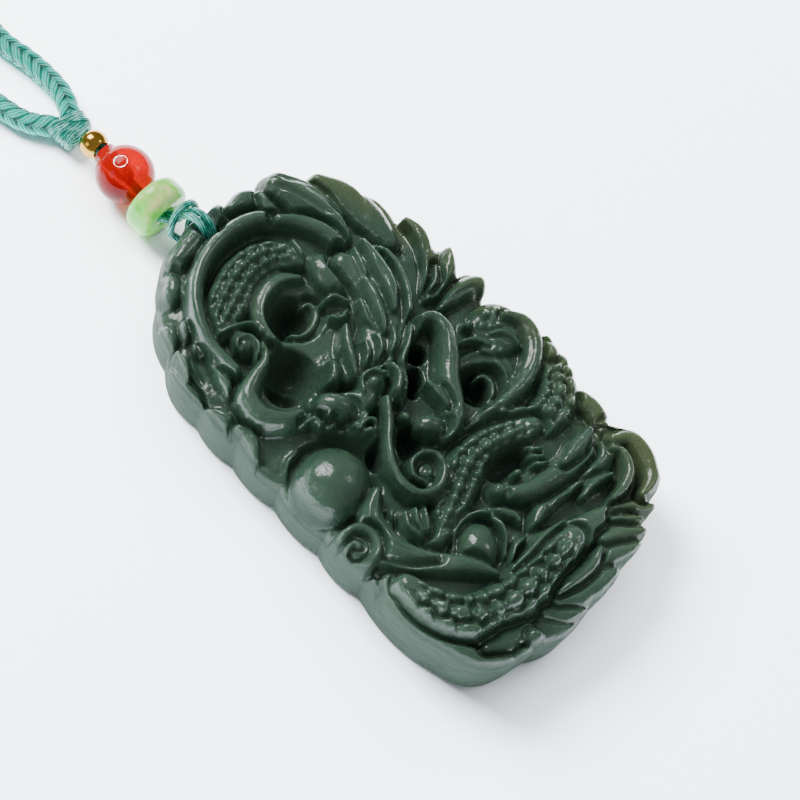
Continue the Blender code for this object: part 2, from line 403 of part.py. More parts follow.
def claws(r):
    """The scaled body across the middle, the fore claws, the round joint and the hind leg with its pads."""
    r.band([(-8.6, -12.5), (-5.7, -11.4), (-3, -10.2), (-0.3, -9.1), (2.5, -9.1), (5.2, -9.8),
           (8.1, -10.7)], (2.4, 3.8, 4.6, 4.8, 4.4, 3.8, 2.4), 9.2, 2, 2.6, scales=(1.45, 3, 1.15))
    r.oval(-9.4, -10.1, 1.8, 1.9, 9.2, 1.8, -49, 3)
    r.band([(-10, -7.4), (-11.3, -8.8), (-11.3, -10.7), (-10, -12.2)], (0.5, 0.9, 0.9, 0.5), 9.7, 1.4)
    r.band([(-9.1, -8.4), (-9.9, -9.6), (-9.9, -10.8)], (0.5, 0.9, 0.5), 9.9, 1.3)
    r.band([(-8, -8.8), (-8.7, -9.7), (-9.1, -11)], (0.5, 0.9, 0.5), 9.9, 1.3)
    r.band([(-7.1, -9.3), (-8, -10.4), (-8.6, -11.5)], (0.5, 0.9, 0.5), 9.9, 1.3)
    r.pit(2.8, -12.3, 3.3, 1.6, 5.2, 7.6, -12, 3)
    r.pit(-3.6, -3.5, 2.5, 1.4, 4.8, 7.8, 43, 3)
    r.pit(-7.7, -2.6, 1.5, 1, 5.2, 7.8, 70, 3)
    r.pit(-5.7, -16.1, 3.6, 2.9, 6.2, 8.6, 44, 5)
    r.band([(-8, -14.7), (-5.9, -13.3), (-3.6, -13.5), (-2.4, -14.9), (-3, -16.9), (-4.5, -18.6)],
           (0.5, 0.8, 0.9, 0.9, 0.8, 0.4), 9.1, 1.5)
    r.oval(-5.8, -16.1, 2.8, 2.2, 9.3, 2.2, 42)
    r.band([(8.5, -18.1), (10.9, -18), (13.1, -17.7)], (2.4, 3.6, 2), 9, 2.1)
    r.band([(-0.8, -18.8), (1.2, -17.9), (3.7, -17.6), (6.3, -18.1), (7.6, -18.6)],
           (0.8, 1.9, 2.1, 1.6, 0.6), 9.2, 1.8)
    r.band([(2.8, -18.1), (4.3, -17.9), (5.7, -18.4)], (0.4, 0.8, 0.4), 9.6, 1)
    r.band([(6.2, -19.6), (8.4, -19.4), (10.6, -20)], (0.7, 1.4, 0.7), 9.2, 1.5)
    r.band([(-4.7, -19.5), (-3, -18.6), (-1, -18.8)], (0.5, 0.9, 0.4), 8.9, 1.4)
    r.band([(-1.8, -14.6), (-1.3, -15.4), (-0.8, -16.4), (-1, -17.2)], (0.8, 1.5, 1.4, 0.6), 9.1, 1.6)
    r.band([(-0.1, -13.4), (2, -15.1), (4.7, -15.9), (7.6, -16.1), (10.6, -16.2)],
           (1.8, 2.5, 2.7, 2.9, 2.2), 9.7, 2.3, 2.1)
    r.band([(7.5, -15.6), (9.7, -15.4), (12.3, -15)], (1.2, 2.3, 1.3), 10, 1.9)
    r.oval(-0, -13.2, 1.0, 0.95, 10.3, 1.7, -61)
    r.mark([(0.7, -13.1), (0.7, -13.8), (-0, -14)], 0.3, 0.3, 10.2)
    r.oval(2.8, -13.2, 0.7, 0.5, 9.5, 1.1, -27)
    r.band([(5.8, -11.8), (6.1, -12.6), (7, -13)], (0.4, 0.8, 0.4), 9.4, 1.2)
    r.band([(5.4, -12.7), (5.8, -13.5), (6.6, -13.7)], (0.4, 0.8, 0.4), 9.4, 1.2)
    r.band([(4.9, -13.6), (5.4, -14.2), (6.3, -14.5)], (0.4, 0.8, 0.4), 9.4, 1.2)


def lower_body(r):
    """The scaled coil across the bottom with the smooth lip under it."""
    r.band([(-15.4, -12.4), (-16.2, -14.7), (-16.7, -18), (-16, -21.4), (-14.3, -24.2), (-12, -26.2),
           (-9.2, -27.4)], (1.4, 2.2, 2.6, 2.5, 2.3, 2, 1.2), 9.1, 1.7, 2.3)
    r.band([(-0.5, -21.1), (2.7, -21.9), (5.7, -22.3), (8.2, -22.6)], (4.6, 3.9, 3, 1.5), 9.5, 2.1, 2.3)
    r.band([(-14.3, -14), (-14, -16.5), (-12.9, -19.1), (-10.8, -21.2), (-7.5, -22.3), (-3.8, -22.3),
           (-0.8, -22.2), (2.3, -21.9)],
           (3, 4.2, 5.2, 5.6, 5.6, 5.4, 4.8, 3.2), 10, 2.2, 2.6, scales=(1.5, 4, 1.25))
    r.band([(-5.2, -19.9), (-2.6, -19.9), (0.2, -19.7), (3, -20)], (0.4, 0.9, 0.9, 0.4), 10, 1.4)
    r.oval(-10, -26.9, 1.4, 1.1, 8.9, 1.4, -78)


def tail(r):
    """The waves along the bottom edge, and the tail's fan at the lower right."""
    r.band([(-10.1, -25.8), (-7.7, -26.7), (-5.4, -27.7), (-2.8, -28.5)], (1.2, 2.8, 3, 1.5), 7.6, 0.9)
    r.band([(-13.3, -24.1), (-11.1, -25), (-8.4, -25.6)], (1.4, 2.5, 1.4), 8.2, 1)
    r.band([(-6.1, -25.6), (-4.3, -26.7), (-1.8, -27.6), (-0.2, -27.8)], (1.2, 2.9, 2.9, 1.2), 8.2, 1.1)
    r.band([(-4, -25.6), (-1.5, -26.5), (1.3, -27.1), (2.8, -27.6)], (1.4, 3.1, 3.1, 1.6), 8.6, 1.3)
    r.band([(1.1, -24.9), (3.8, -25.7), (6.9, -27.1)], (1.4, 2.7, 1.8), 8.7, 1.4)
    r.band([(4.4, -24.3), (6.8, -25.1), (8.7, -26.6)], (1.4, 2.5, 1.5), 8.7, 1.4)
    r.band([(6.7, -23.4), (8, -24.3), (9.3, -25.6)], (0.7, 1.4, 0.9), 8.6, 1.5)
    r.band([(7.8, -22.8), (9.5, -23.8), (11.5, -25.4)], (0.8, 1.5, 1.1), 8.6, 1.5)
    r.band([(13.6, -17.5), (15.2, -18.7), (15.1, -21.2), (13.7, -23.2), (11.4, -23.8)],
           (1.8, 2.8, 3.2, 2.8, 1.5), 8.8, 2.1)
    r.band([(12.8, -18), (13.3, -19.1), (12.3, -20.9), (10.5, -21.7), (8.5, -21.8)],
           (0.8, 1.5, 1.7, 1.5, 0.7), 9.5, 1.8)
    r.band([(-3.3, -25), (-0.9, -25.2), (1.6, -25.3), (3.6, -24.7)], (0.8, 1.9, 1.9, 0.8), 9.1, 1.7)
    r.oval(-8.4, -26.5, 1.1, 1, 8.7, 1.3, -80)
    r.mark([(-2.6, -25.2), (-0.2, -25.3), (2, -25.3)], 0.4, -0.25, 9.1)


def cord_seat(r):
    """A shallow seat where the cord passes over the rim."""
    r.pit(-2.9, 28.7, 1.7, 2.1, 6.4, 8, 0, 4)


def material(name, colour, roughness, metallic=0.0):
    m = bpy.data.materials.new(name)
    m.use_nodes = True
    shader = m.node_tree.nodes["Principled BSDF"]
    shader.inputs["Base Color"].default_value = (*colour, 1)
    shader.inputs["Roughness"].default_value = roughness
    shader.inputs["Metallic"].default_value = metallic
    m.diffuse_color = (*colour, 1)
    return m


def add(name, data, finish, group):
    o = bpy.data.objects.new(name, data)
    if finish:
        data.materials.append(finish)
    group.objects.link(o)
    return o


def cutter(o):
    o.hide_render = True
    o.display_type = "WIRE"
    return o


def cut(o, tool, name):
    m = o.modifiers.new(name, "BOOLEAN")
    m.operation, m.solver, m.object = "DIFFERENCE", "EXACT", tool


def turned(name, profile, finish, group, place, axis, segments=20):
    """A ring turned round its axis, from a closed profile of (radius, height)."""
    bm = bmesh.new()
    ring = [bm.verts.new((r, 0, h)) for r, h in profile]
    for a, b in zip(ring, ring[1:] + ring[:1]):
        bm.edges.new((a, b))
    mesh = bpy.data.meshes.new(name)
    bm.to_mesh(mesh)
    bm.free()
    o = add(name, mesh, finish, group)
    turn = o.modifiers.new("turn", "SCREW")
    turn.steps = turn.render_steps = segments
    turn.use_merge_vertices, turn.merge_threshold = True, 0.00001
    turn.use_smooth_shade = True
    o.location = place
    o.rotation_mode = "QUATERNION"
    o.rotation_quaternion = Vector(axis).to_track_quat("Z", "Y")
    return o


def arc(radius, from_height, to_height, steps):
    """Points down the outside of a ball, (distance from the axis, height)."""
    start, end = math.asin(from_height / radius), math.asin(to_height / radius)
    turns = [start + (end - start) * i / steps for i in range(steps + 1)]
    return [(radius * math.cos(a), radius * math.sin(a)) for a in turns]


def tube(name, route, diameter, finish, group, closed=False):
    curve = bpy.data.curves.new(name, "CURVE")
    curve.dimensions = "3D"
    curve.bevel_depth = diameter / 2
    curve.bevel_resolution = 2
    curve.use_fill_caps = not closed
    line = curve.splines.new("POLY")
    line.points.add(len(route) - 1)
    for point, place in zip(line.points, route):
        point.co = (*place, 1)
    line.use_cyclic_u = closed
    return add(name, curve, finish, group)


def spaced(points, step):
    """Points about a step apart along a line."""
    p = np.array(points, float)
    run = np.concatenate([[0], np.cumsum(np.linalg.norm(np.diff(p, axis=0), axis=1))])
    at = np.linspace(0, run[-1], max(2, round(run[-1] / step) + 1))
    return np.stack([np.interp(at, run, p[:, k]) for k in range(3)], axis=1)


def front_grid():
    """Where each point of the square grid lies on the plaque, and the height of the carving there."""
    nx, ny = GRID
    a, b = np.meshgrid(np.linspace(-1, 1, 3 * nx + 1), np.linspace(-1, 1, 3 * ny + 1))
    u, v = a * np.sqrt(1 - b * b / 2), b * np.sqrt(1 - a * a / 2)
    x, y = spread(u, v)
    z = carve(x.ravel(), y.ravel()).reshape(x.shape)
    # Each coarse point takes the mean height round it, so that fine carving leaves no spikes.
    wide = np.pad(z, 2, mode="edge")
    mean = sum(wide[i:i + z.shape[0], j:j + z.shape[1]] for i in range(5) for j in range(5)) / 25
    mean[[0, -1]], mean[:, [0, -1]] = z[[0, -1]], z[:, [0, -1]]
    return x[::3, ::3] * UNIT, y[::3, ::3] * UNIT, mean[::3, ::3] * RISE


def top_edge():
    """Where the plaque's edge lies beside the hole, along Y."""
    way = np.linspace(0.2, math.pi - 0.2, 800)
    far = outline(way) * UNIT
    return float(np.interp(-HOLE_X, -far * np.cos(way), far * np.sin(way)))


def plaque(finish, group, tools):
    """The jade: a relief on a flat back, drilled from the front to a channel in the back."""
    nx, ny = GRID
    x, y, z = front_grid()
    bm = bmesh.new()
    bmesh.ops.create_grid(bm, x_segments=nx, y_segments=ny, size=1)
    for v in bm.verts:
        i, j = round((v.co.y + 1) / 2 * ny), round((v.co.x + 1) / 2 * nx)
        v.co = (x[i, j], y[i, j], z[i, j])
    for level, shrink in ((BACK_EDGE, 0.0), (0.0, 0.7 * BACK_EDGE)):
        rim = [e for e in bm.edges if e.is_boundary]
        new = bmesh.ops.extrude_edge_only(bm, edges=rim)["geom"]
        for v in (g for g in new if isinstance(g, bmesh.types.BMVert)):
            far = math.hypot(v.co.x, v.co.y)
            v.co = (v.co.x * (1 - shrink / far), v.co.y * (1 - shrink / far), level)
    bmesh.ops.contextual_create(bm, geom=[e for e in bm.edges if e.is_boundary])
    bmesh.ops.recalc_face_normals(bm, faces=bm.faces)
    for face in bm.faces:
        face.smooth = True
    mesh = bpy.data.meshes.new("jade_plaque")
    bm.to_mesh(mesh)
    bm.free()
    jade = add("jade_plaque", mesh, finish, group)

    hole_y = top_edge() - HOLE_TO_EDGE - HOLE_DIAMETER / 2
    bpy.ops.mesh.primitive_cylinder_add(vertices=16, radius=HOLE_DIAMETER / 2, depth=3 * PLAQUE_THICKNESS,
                                        location=(HOLE_X, hole_y, PLAQUE_THICKNESS / 2))
    hole = cutter(bpy.context.object)
    wide = HOLE_DIAMETER + 2 * TOUCH
    start, end = hole_y - wide / 2, top_edge() + 3 * HOLE_TO_EDGE
    bpy.ops.mesh.primitive_cube_add(size=1, location=(HOLE_X, (start + end) / 2, 0))
    channel = cutter(bpy.context.object)
    channel.scale = (wide, end - start, 2 * CHANNEL_DEPTH)
    for tool, name in ((hole, "cord_hole"), (channel, "cord_channel")):
        tool.name = name
        tool.users_collection[0].objects.unlink(tool)
        tools.objects.link(tool)
        cut(jade, tool, name)
    return hole_y


def bail(hole_y, finish, group):
    """The thin cord: two strands through the beads, over the rim, through the hole, and round themselves."""
    aside = (BAIL_DIAMETER + STRAND_GAP) / 2
    rim, thick, d = top_edge(), PLAQUE_THICKNESS, BAIL_DIAMETER
    at, axis = string_of_beads(), DISC_DIAMETER / 2
    x, slope, half = BEAD_X - aside, GOLD_SLOPE, at["gold_half"]
    gold = axis - GOLD_DROP
    side = [(x, at["end"], gold - slope * (half + TOUCH))]
    side += [(x, at["gold"] + k * half, gold - k * slope * half) for k in (1, 0, -1)]
    side += [(x, at["red"] + k * at["red_half"], axis) for k in (1.1, 0.6, 0, -0.6, -1)]
    side += [(x, at["disc"] + k * DISC_THICKNESS / 2, axis) for k in (1, 0, -1)]
    # From here on each place is given in cord diameters, and each height as a share of the plaque's.
    x = HOLE_X - aside
    side += [(x, rim + k * d, h * thick) for k, h in ((2.1, 0.39), (1.25, 0.54), (0, 0.66), (-1.4, 0.70))]
    side += [(x, hole_y + k * d, h * thick) for k, h in ((0.6, 0.625), (0, 0.49), (0, 0.30), (0.25, 0.15))]
    side += [(x - 0.1 * d, hole_y + 1.4 * d, d / 2 + TOUCH), (x - 0.1 * d, rim - 0.5 * d, d / 2 + TOUCH)]
    side += [(HOLE_X + i * d, rim + k * d, h * thick)
             for i, k, h in ((-0.9, 1.0, 0.125), (-1.75, 1.75, 0.23))]
    mirrored = [(2 * (BEAD_X if y > at["start"] - d else HOLE_X) - x, y, z) for x, y, z in reversed(side)]
    bight = [(HOLE_X + i * d, rim + k * d, h * thick)
             for i, k, h in ((-3.1, 1.5, 0.36), (-2.75, 1.6, 0.52), (-1.0, 2.0, 0.625),
                             (1.1, 2.0, 0.616), (2.4, 1.75, 0.5), (2.5, 1.6, 0.36))]
    route = spaced(smooth_line(side + bight + mirrored), 1.6 * BAIL_DIAMETER)
    return tube("bail_cord", route, BAIL_DIAMETER, finish, group)


def string_of_beads():
    """Where each bead stands along Y, with its half length, and where the wrap begins."""
    bore = BORE / 2
    red_half = math.sqrt((RED_DIAMETER / 2) ** 2 - bore ** 2)
    gold_half = math.sqrt((GOLD_DIAMETER / 2) ** 2 - bore ** 2)
    start = top_edge() + BEAD_GAP
    disc = start + DISC_THICKNESS / 2
    red = disc + DISC_THICKNESS / 2 + TOUCH + red_half
    gold = red + red_half + RED_NECK + TOUCH + gold_half
    return {"start": start, "disc": disc, "red": red, "red_half": red_half, "gold": gold,
            "gold_half": gold_half, "end": gold + gold_half + TOUCH}


def beads(finishes, group):
    """The green disc, the red ball with a short neck and the gold ball, all bored for the bail cord."""
    at, bore = string_of_beads(), BORE / 2
    half, outer = DISC_THICKNESS / 2, DISC_DIAMETER / 2
    soft, lip = 0.16 * DISC_DIAMETER, 0.12 * DISC_DIAMETER
    edge = [(outer - soft + soft * math.cos(a), (half - soft) * math.copysign(1, a) + soft * math.sin(a))
            for a in (math.radians(d) for d in (80, 50, 22, -22, -50, -80))]
    disc = [(bore, half - 0.4 * lip), (bore + lip, half)] + edge + [(bore + lip, -half), (bore, 0.4 * lip - half)]
    turned("green_disc_bead", disc, finishes["green"], group, (BEAD_X, at["disc"], outer), (0, 1, 0), 24)
    radius, red_half = RED_DIAMETER / 2, at["red_half"]
    neck = 1.35 * bore
    shoulder = math.sqrt(radius ** 2 - neck ** 2)
    ball = [(bore, red_half + RED_NECK), (neck, red_half + RED_NECK)] + arc(radius, shoulder, -red_half, 9)
    turned("red_round_bead", ball, finishes["red"], group, (BEAD_X, at["red"], outer), (0, 1, 0), 24)
    gold = arc(GOLD_DIAMETER / 2, at["gold_half"], -at["gold_half"], 7)
    turned("gold_round_bead", gold, finishes["gold"], group, (BEAD_X, at["gold"], outer - GOLD_DROP),
           (0, 1, -GOLD_SLOPE), 20)


def wrap(start, finish, group):
    """The whipping that binds both legs of the neck cord, a flat barrel."""
    half, soft = WRAP_LENGTH / 2, 0.25 * WRAP_LENGTH
    bpy.ops.mesh.primitive_cylinder_add(vertices=24, radius=0.5, depth=WRAP_LENGTH,
                                        location=(BEAD_X, start + half, WRAP_HEIGHT / 2),
                                        rotation=(math.pi / 2, 0, 0))
    o = bpy.context.object
    o.name = o.data.name = "cord_wrap"
    o.scale = (WRAP_WIDTH, WRAP_HEIGHT, 1)
    bpy.ops.object.transform_apply(location=False, rotation=False, scale=True)
    o.users_collection[0].objects.unlink(o)
    group.objects.link(o)
    o.data.materials.append(finish)
    edge = o.modifiers.new("soft_ends", "BEVEL")
    edge.width, edge.segments, edge.limit_method, edge.angle_limit = soft, 2, "ANGLE", math.radians(60)
    return start + WRAP_LENGTH + TOUCH


def coil_radii():
    """The coil's outermost and innermost turn: two layers hold what the legs leave of the cord."""
    legs = sum(math.dist(a, b) for leg in (UPPER_LEG, LOWER_LEG) for a, b in zip(leg, leg[1:])) * MM
    turns = LAST_TURN + round((CORD_LENGTH - legs) / (math.pi * COIL_ACROSS) - LAST_TURN)
    reach = turns / 2 * LAYER * CORD_DIAMETER / 2
    return COIL_ACROSS / 2 + reach, COIL_ACROSS / 2 - reach


def neck_cord(start, finish, group):
    """The braided cord's two legs from the wrap, and the ring that holds the rest of it, wound up."""
    cx, cy = COIL_MIDDLE
    lift = CORD_DIAMETER / 2
    out, inside = coil_radii()
    high = (1 + LAYER) * CORD_DIAMETER + TIE_DIAMETER - lift
    upper = [(x * MM, y * MM, lift) for x, y in UPPER_LEG]
    upper += [(cx + out - 0.4 * MM, cy - 4 * MM, lift), (cx + out, cy, lift)]
    lower = [(x * MM, y * MM, lift + rise * MM) for x, y, rise in LOWER_LEG]
    lower += [(-13.4 * MM, cy - out + 0.2 * MM, high), (-17 * MM, cy - out, high)]
    clear = out + CORD_DIAMETER + TOUCH
    for name, route in (("cord_leg_upper", upper), ("cord_leg_lower", lower)):
        line = smooth_line(route)
        # The cord's end follows the wrap, and the rest of it stays where it lies.
        line[:, 1] += (start - line[0, 1]) * np.clip((60 * MM - line[:, 1]) / (10 * MM), 0, 1)
        line = line[np.hypot(line[:, 0] - cx, line[:, 1] - cy) > clear]
        tube(name, spaced(line, 1.2 * CORD_DIAMETER), CORD_DIAMETER, finish, group)
    low, high = TIE_DIAMETER + TOUCH, TIE_DIAMETER + TOUCH + 2 * LAYER * CORD_DIAMETER
    soft, outer, inner = 0.3 * CORD_DIAMETER, out + CORD_DIAMETER / 2, inside - CORD_DIAMETER / 2
    section = [(outer - soft, high), (outer, high - soft), (outer, low + soft), (outer - soft, low),
               (inner + soft, low), (inner, low + soft), (inner, high - soft), (inner + soft, high)]
    turned("cord_coil", section, finish, group, (cx, cy, 0), (0, 0, 1), 40)
    # The tie goes round the ring at the side away from the pendant.
    gap = TIE_DIAMETER / 2 + TOUCH
    w, h = (outer - inner) / 2 + gap, (high - low) / 2 + gap
    corner = 1.6 * TIE_DIAMETER
    loop = []
    for k in range(4):
        ox, oz = (w - corner) * (1, -1, -1, 1)[k], (h - corner) * (1, 1, -1, -1)[k]
        for d in (0, 30, 60, 90):
            a = math.radians(90 * k + d)
            loop.append((cx, cy + (outer + inner) / 2 + ox + corner * math.cos(a),
                         (low + high) / 2 + oz + corner * math.sin(a)))
    return loop


def main():
    for o in list(bpy.data.objects):
        bpy.data.objects.remove(o, do_unlink=True)
    group, tools = (bpy.data.collections.new(n) for n in ("jade_pendant", "cutters"))
    for c in (group, tools):
        bpy.context.scene.collection.children.link(c)
    jade = material("nephrite", (0.045, 0.105, 0.075), 0.12)
    satin = material("satin_cord", (0.10, 0.42, 0.36), 0.40)
    braid = material("braided_cord", (0.16, 0.55, 0.46), 0.65)
    finishes = {"green": material("apple_green_stone", (0.36, 0.72, 0.30), 0.18),
                "red": material("red_agate", (0.75, 0.03, 0.01), 0.06),
                "gold": material("gold", (0.85, 0.60, 0.18), 0.12, 1.0)}
    hole_y = plaque(jade, group, tools)
    bail(hole_y, satin, group)
    beads(finishes, group)
    start = wrap(string_of_beads()["end"] + TOUCH, satin, group)
    tie = neck_cord(start, braid, group)
    tube("coil_tie", tie, TIE_DIAMETER, material("tie", (0.12, 0.45, 0.38), 0.6), group, closed=True)


if __name__ == "__main__":
    main()
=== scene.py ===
"""The look of a jade pendant on its cord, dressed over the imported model."""
import math

import bpy
import numpy as np
from mathutils import Matrix, Vector


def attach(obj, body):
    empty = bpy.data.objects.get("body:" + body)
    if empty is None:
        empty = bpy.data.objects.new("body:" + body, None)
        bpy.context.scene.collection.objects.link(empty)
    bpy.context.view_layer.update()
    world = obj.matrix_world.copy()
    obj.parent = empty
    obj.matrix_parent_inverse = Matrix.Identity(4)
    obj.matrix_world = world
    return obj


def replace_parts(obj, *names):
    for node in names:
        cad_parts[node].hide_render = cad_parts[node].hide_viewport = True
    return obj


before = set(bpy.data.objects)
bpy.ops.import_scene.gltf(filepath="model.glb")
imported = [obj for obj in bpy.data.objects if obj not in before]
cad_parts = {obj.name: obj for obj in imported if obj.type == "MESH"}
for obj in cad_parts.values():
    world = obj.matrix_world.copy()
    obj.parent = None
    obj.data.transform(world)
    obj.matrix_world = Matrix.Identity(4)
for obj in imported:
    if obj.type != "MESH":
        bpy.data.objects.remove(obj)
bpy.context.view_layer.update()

MM = 0.001

# Sizes, as in the part's source
PLAQUE_LENGTH = 0.05885
PLAQUE_THICKNESS = 0.0112
BACK_EDGE = 0.0009
HOLE_DIAMETER = 0.0023
HOLE_TO_EDGE = 0.0018
HOLE_X = -0.0024
CHANNEL_DEPTH = 0.0015
BAIL_DIAMETER = 0.0008
STRAND_GAP = 0.00012
BORE_CLEARANCE = 0.00014
TOUCH = 0.0003
DISC_DIAMETER = 0.0069
DISC_THICKNESS = 0.0032
RED_DIAMETER = 0.0065
RED_NECK = 0.0004
GOLD_DIAMETER = 0.0032
GOLD_DROP = 0.0004
GOLD_SLOPE = 0.22
BEAD_GAP = 0.0029
BEAD_X = -0.0032
CORD_DIAMETER = 0.0026
WRAP_WIDTH = 0.0052
WRAP_HEIGHT = 0.0032
WRAP_LENGTH = 0.0033
COIL_MIDDLE = (-0.0155, 0.0790)
COIL_ACROSS = 0.0270
LAYER = 1.02
TIE_DIAMETER = 0.0006
CORD_LENGTH = 0.62
LAST_TURN = 0.736
# The neck cord's two legs in millimetres; the lower one also gives its rise over the surface.
UPPER_LEG = [(-1.85, 49.6), (-1.1, 51.4), (-0.8, 53.8), (-1.0, 57.6), (-1.7, 61.6), (-1.3, 66), (0.4, 70.6)]
LOWER_LEG = [(-4.75, 49.6, 0), (-5.9, 50.9, 0), (-6.8, 52.8, 0), (-7.4, 55.4, 0.05), (-8.4, 57.7, 0.5),
             (-10.5, 59.9, 1.7)]
BORE = 2 * BAIL_DIAMETER + STRAND_GAP + 2 * BORE_CLEARANCE

# The carving
GRID = (220, 372)           # faces across and along the front
DRAWN_LENGTH, DRAWN_THICKNESS = 58.85, 11.1   # in the units that the carving is drawn in
LONG_SIDE = 1.7             # the grid's length for its width
UNIT = PLAQUE_LENGTH / DRAWN_LENGTH
RISE = PLAQUE_THICKNESS / DRAWN_THICKNESS
ROLL, LEFT_ROLL = 0.9, 1.1  # how far the front rolls over into the wall, and how much further on the left

# The cords
LEG_ENDS = [(-2.2, 48.9), (-4.2, 48.9, 0)]    # inside the wrap, in millimetres
STRANDS = 4                 # in each direction of the braid
BRAID_PITCH = 0.00150       # from one strand to the next, along the cord
WEAVE = 0.9                 # how far a strand rises and dives, for its own height
STRAND_HEIGHT = 0.00017
BRAID_INSET = 0.00016       # keeps the tops of the strands within the cord's diameter
BRAID_STEP, BRAID_SIDES = 0.00021, 26
BAIL_STEP, BAIL_SIDES = 0.00022, 16
TIE_STEP, TIE_SIDES = 0.0003, 12
SATIN_PITCH = 0.001         # the length that one unit of a satin cord's UVs stands for
WHIPPING_RADIUS = 0.00042
# The whipping's turns, each with its place along the wrap and its slant
WHIPPING = [(-0.30, 0.10), (-0.10, 0.16), (0.08, 0.10), (0.26, -0.10), (0.05, -0.34), (-0.2, 0.36)]

# The photo's viewpoint
VIEW_ANGLE = 24
CAMERA_PLACE = (-0.08153, -0.02726, 0.18326)
CAMERA_RIGHT, CAMERA_UP = (0.6906, -0.6925, 0.2085), (0.5927, 0.7071, 0.3856)
CAMERA_BACK = (-0.4145, -0.1427, 0.8988)

# Light. Each lamp has a name, place, width, height and power, and FLOOR_LIGHTS light the floor only.
SKY = 0.35
LIGHTS = [
    ("window", (0.03, 0.52, 0.50), 0.34, 0.42, 5.8),
    ("fill", (0.45, -0.30, 0.60), 0.16, 0.16, 0.5),
    ("side", (-0.8, 0.35, 0.45), 0.4, 0.4, 1.0),
]
FLOOR_LIGHTS = [
    ("floor_wide", (0.5, 0.2, 0.9), 1.0, 1.0, 28.0),
    ("floor_slant", (-0.05, 0.7, 0.6), 0.4, 0.4, 46.0),
]
# The ring of lamps that the red bead mirrors: its middle, the point it faces and the point its lamps face
RING_PLACE, RING_FACES, RING_AIM = (0.007, 0.309, 0.428), (0, 0.04, 0), (0, 0.03, 0)
RING_RADIUS, RING_LAMP, RING_COUNT, RING_POWER = 0.22, 0.03, 32, 26.0
FLOOR_HALF = 3


def camera():
    """The photo's viewpoint: from the pendant's lower left, well above it."""
    data = bpy.data.cameras.new("camera")
    data.sensor_width = 36
    data.lens = data.sensor_width / 2 / math.tan(math.radians(VIEW_ANGLE / 2))
    data.clip_start, data.clip_end = 0.01, 10
    o = bpy.data.objects.new("camera", data)
    columns = zip(CAMERA_RIGHT, CAMERA_UP, CAMERA_BACK, CAMERA_PLACE)
    o.matrix_world = Matrix([*columns, (0, 0, 0, 1)])
    bpy.context.scene.collection.objects.link(o)
    bpy.context.scene.camera = o


def smooth_line(points, steps=7):
    """A smooth line through the points."""
    p = np.array(points, float)
    p = np.vstack([2 * p[0] - p[1], p, 2 * p[-1] - p[-2]])
    t = np.linspace(0, 1, steps, endpoint=False)[:, None]
    parts = [b + 0.5 * t * ((c - a) + t * ((2 * a - 5 * b + 4 * c - d) + t * (3 * (b - c) + d - a)))
             for a, b, c, d in zip(p, p[1:], p[2:], p[3:])]
    return np.vstack(parts + [p[-2:-1]])


def spaced(points, step):
    """Points about a step apart along a line."""
    p = np.array(points, float)
    run = np.concatenate([[0], np.cumsum(np.linalg.norm(np.diff(p, axis=0), axis=1))])
    at = np.linspace(0, run[-1], max(2, round(run[-1] / step) + 1))
    return np.stack([np.interp(at, run, p[:, k]) for k in range(3)], axis=1)


# The plaque's outline, in drawn units: each notch in its edge, how far the lobe after it stands out, and
# how much the lobe leans to one of its ends.
NOTCHES = (
    (-5.3, 29.3, 0.9, 1.0), (0.9, 29.2, 0.6, 0.9), (4.7, 28.1, 1.9, 0.8), (10.5, 26.2, 1.1, 1.0),
    (13.1, 20.3, 1.6, 0.55), (14.5, 15.9, 1.7, 0.55), (14.5, 10.9, 1.8, 0.5), (14.7, 7.0, 2.0, 0.6),
    (15.2, 3.0, 1.6, 1.3), (16.5, -4.2, 1.2, 0.6), (15.5, -11.1, 0.7, 1.0), (14.7, -16.4, 1.7, 0.9),
    (14.9, -23.3, 0.5, 0.8), (11.9, -24.8, 0.7, 0.6), (9.2, -25.7, 1.0, 0.5), (3.4, -27.8, 0.5, 1.0),
    (-0.8, -28.0, 1.0, 1.1), (-8.4, -27.5, 2.0, 1.2), (-16.1, -21.6, 0.9, 1.0), (-16.3, -10.8, 0.7, 1.0),
    (-16.3, -4.7, 0.6, 1.0), (-16.3, 2.0, 0.6, 1.0), (-16.4, 8.3, 0.6, 1.0), (-16.3, 13.7, 1.0, 1.0),
    (-14.6, 20.4, 0.8, 1.0), (-10.6, 26.2, 0.8, 1.0),
)


def outline(angles):
    """How far the plaque's edge lies from its middle, in each direction."""
    t = np.linspace(0, 1, 24, endpoint=False)
    edge = []
    for (ax, ay, out, lean), (bx, by, _, _) in zip(NOTCHES, NOTCHES[1:] + NOTCHES[:1]):
        long = math.hypot(bx - ax, by - ay)
        swell = 4 * out * t ** lean * (1 - t ** lean)
        edge.append(np.stack([ax + (bx - ax) * t - (by - ay) / long * swell,
                              ay + (by - ay) * t + (bx - ax) / long * swell], axis=1))
    edge = np.vstack(edge)
    way = np.arctan2(edge[:, 1], edge[:, 0])
    order = np.argsort(way)
    far = np.hypot(edge[:, 0], edge[:, 1])
    return np.interp(angles, way[order], far[order], period=2 * math.pi)


def spread(u, v):
    """Points of the unit disc spread over the plaque; its notches reach only a little way in."""
    way, share = np.arctan2(v * LONG_SIDE, u), np.hypot(u, v)
    eased = sum(outline(way + lean) for lean in np.radians((-12, -8, -4, 0, 4, 8, 12))) / 7
    far = share * (eased + (outline(way) - eased) * share ** 6)
    return far * np.cos(way), far * np.sin(way)


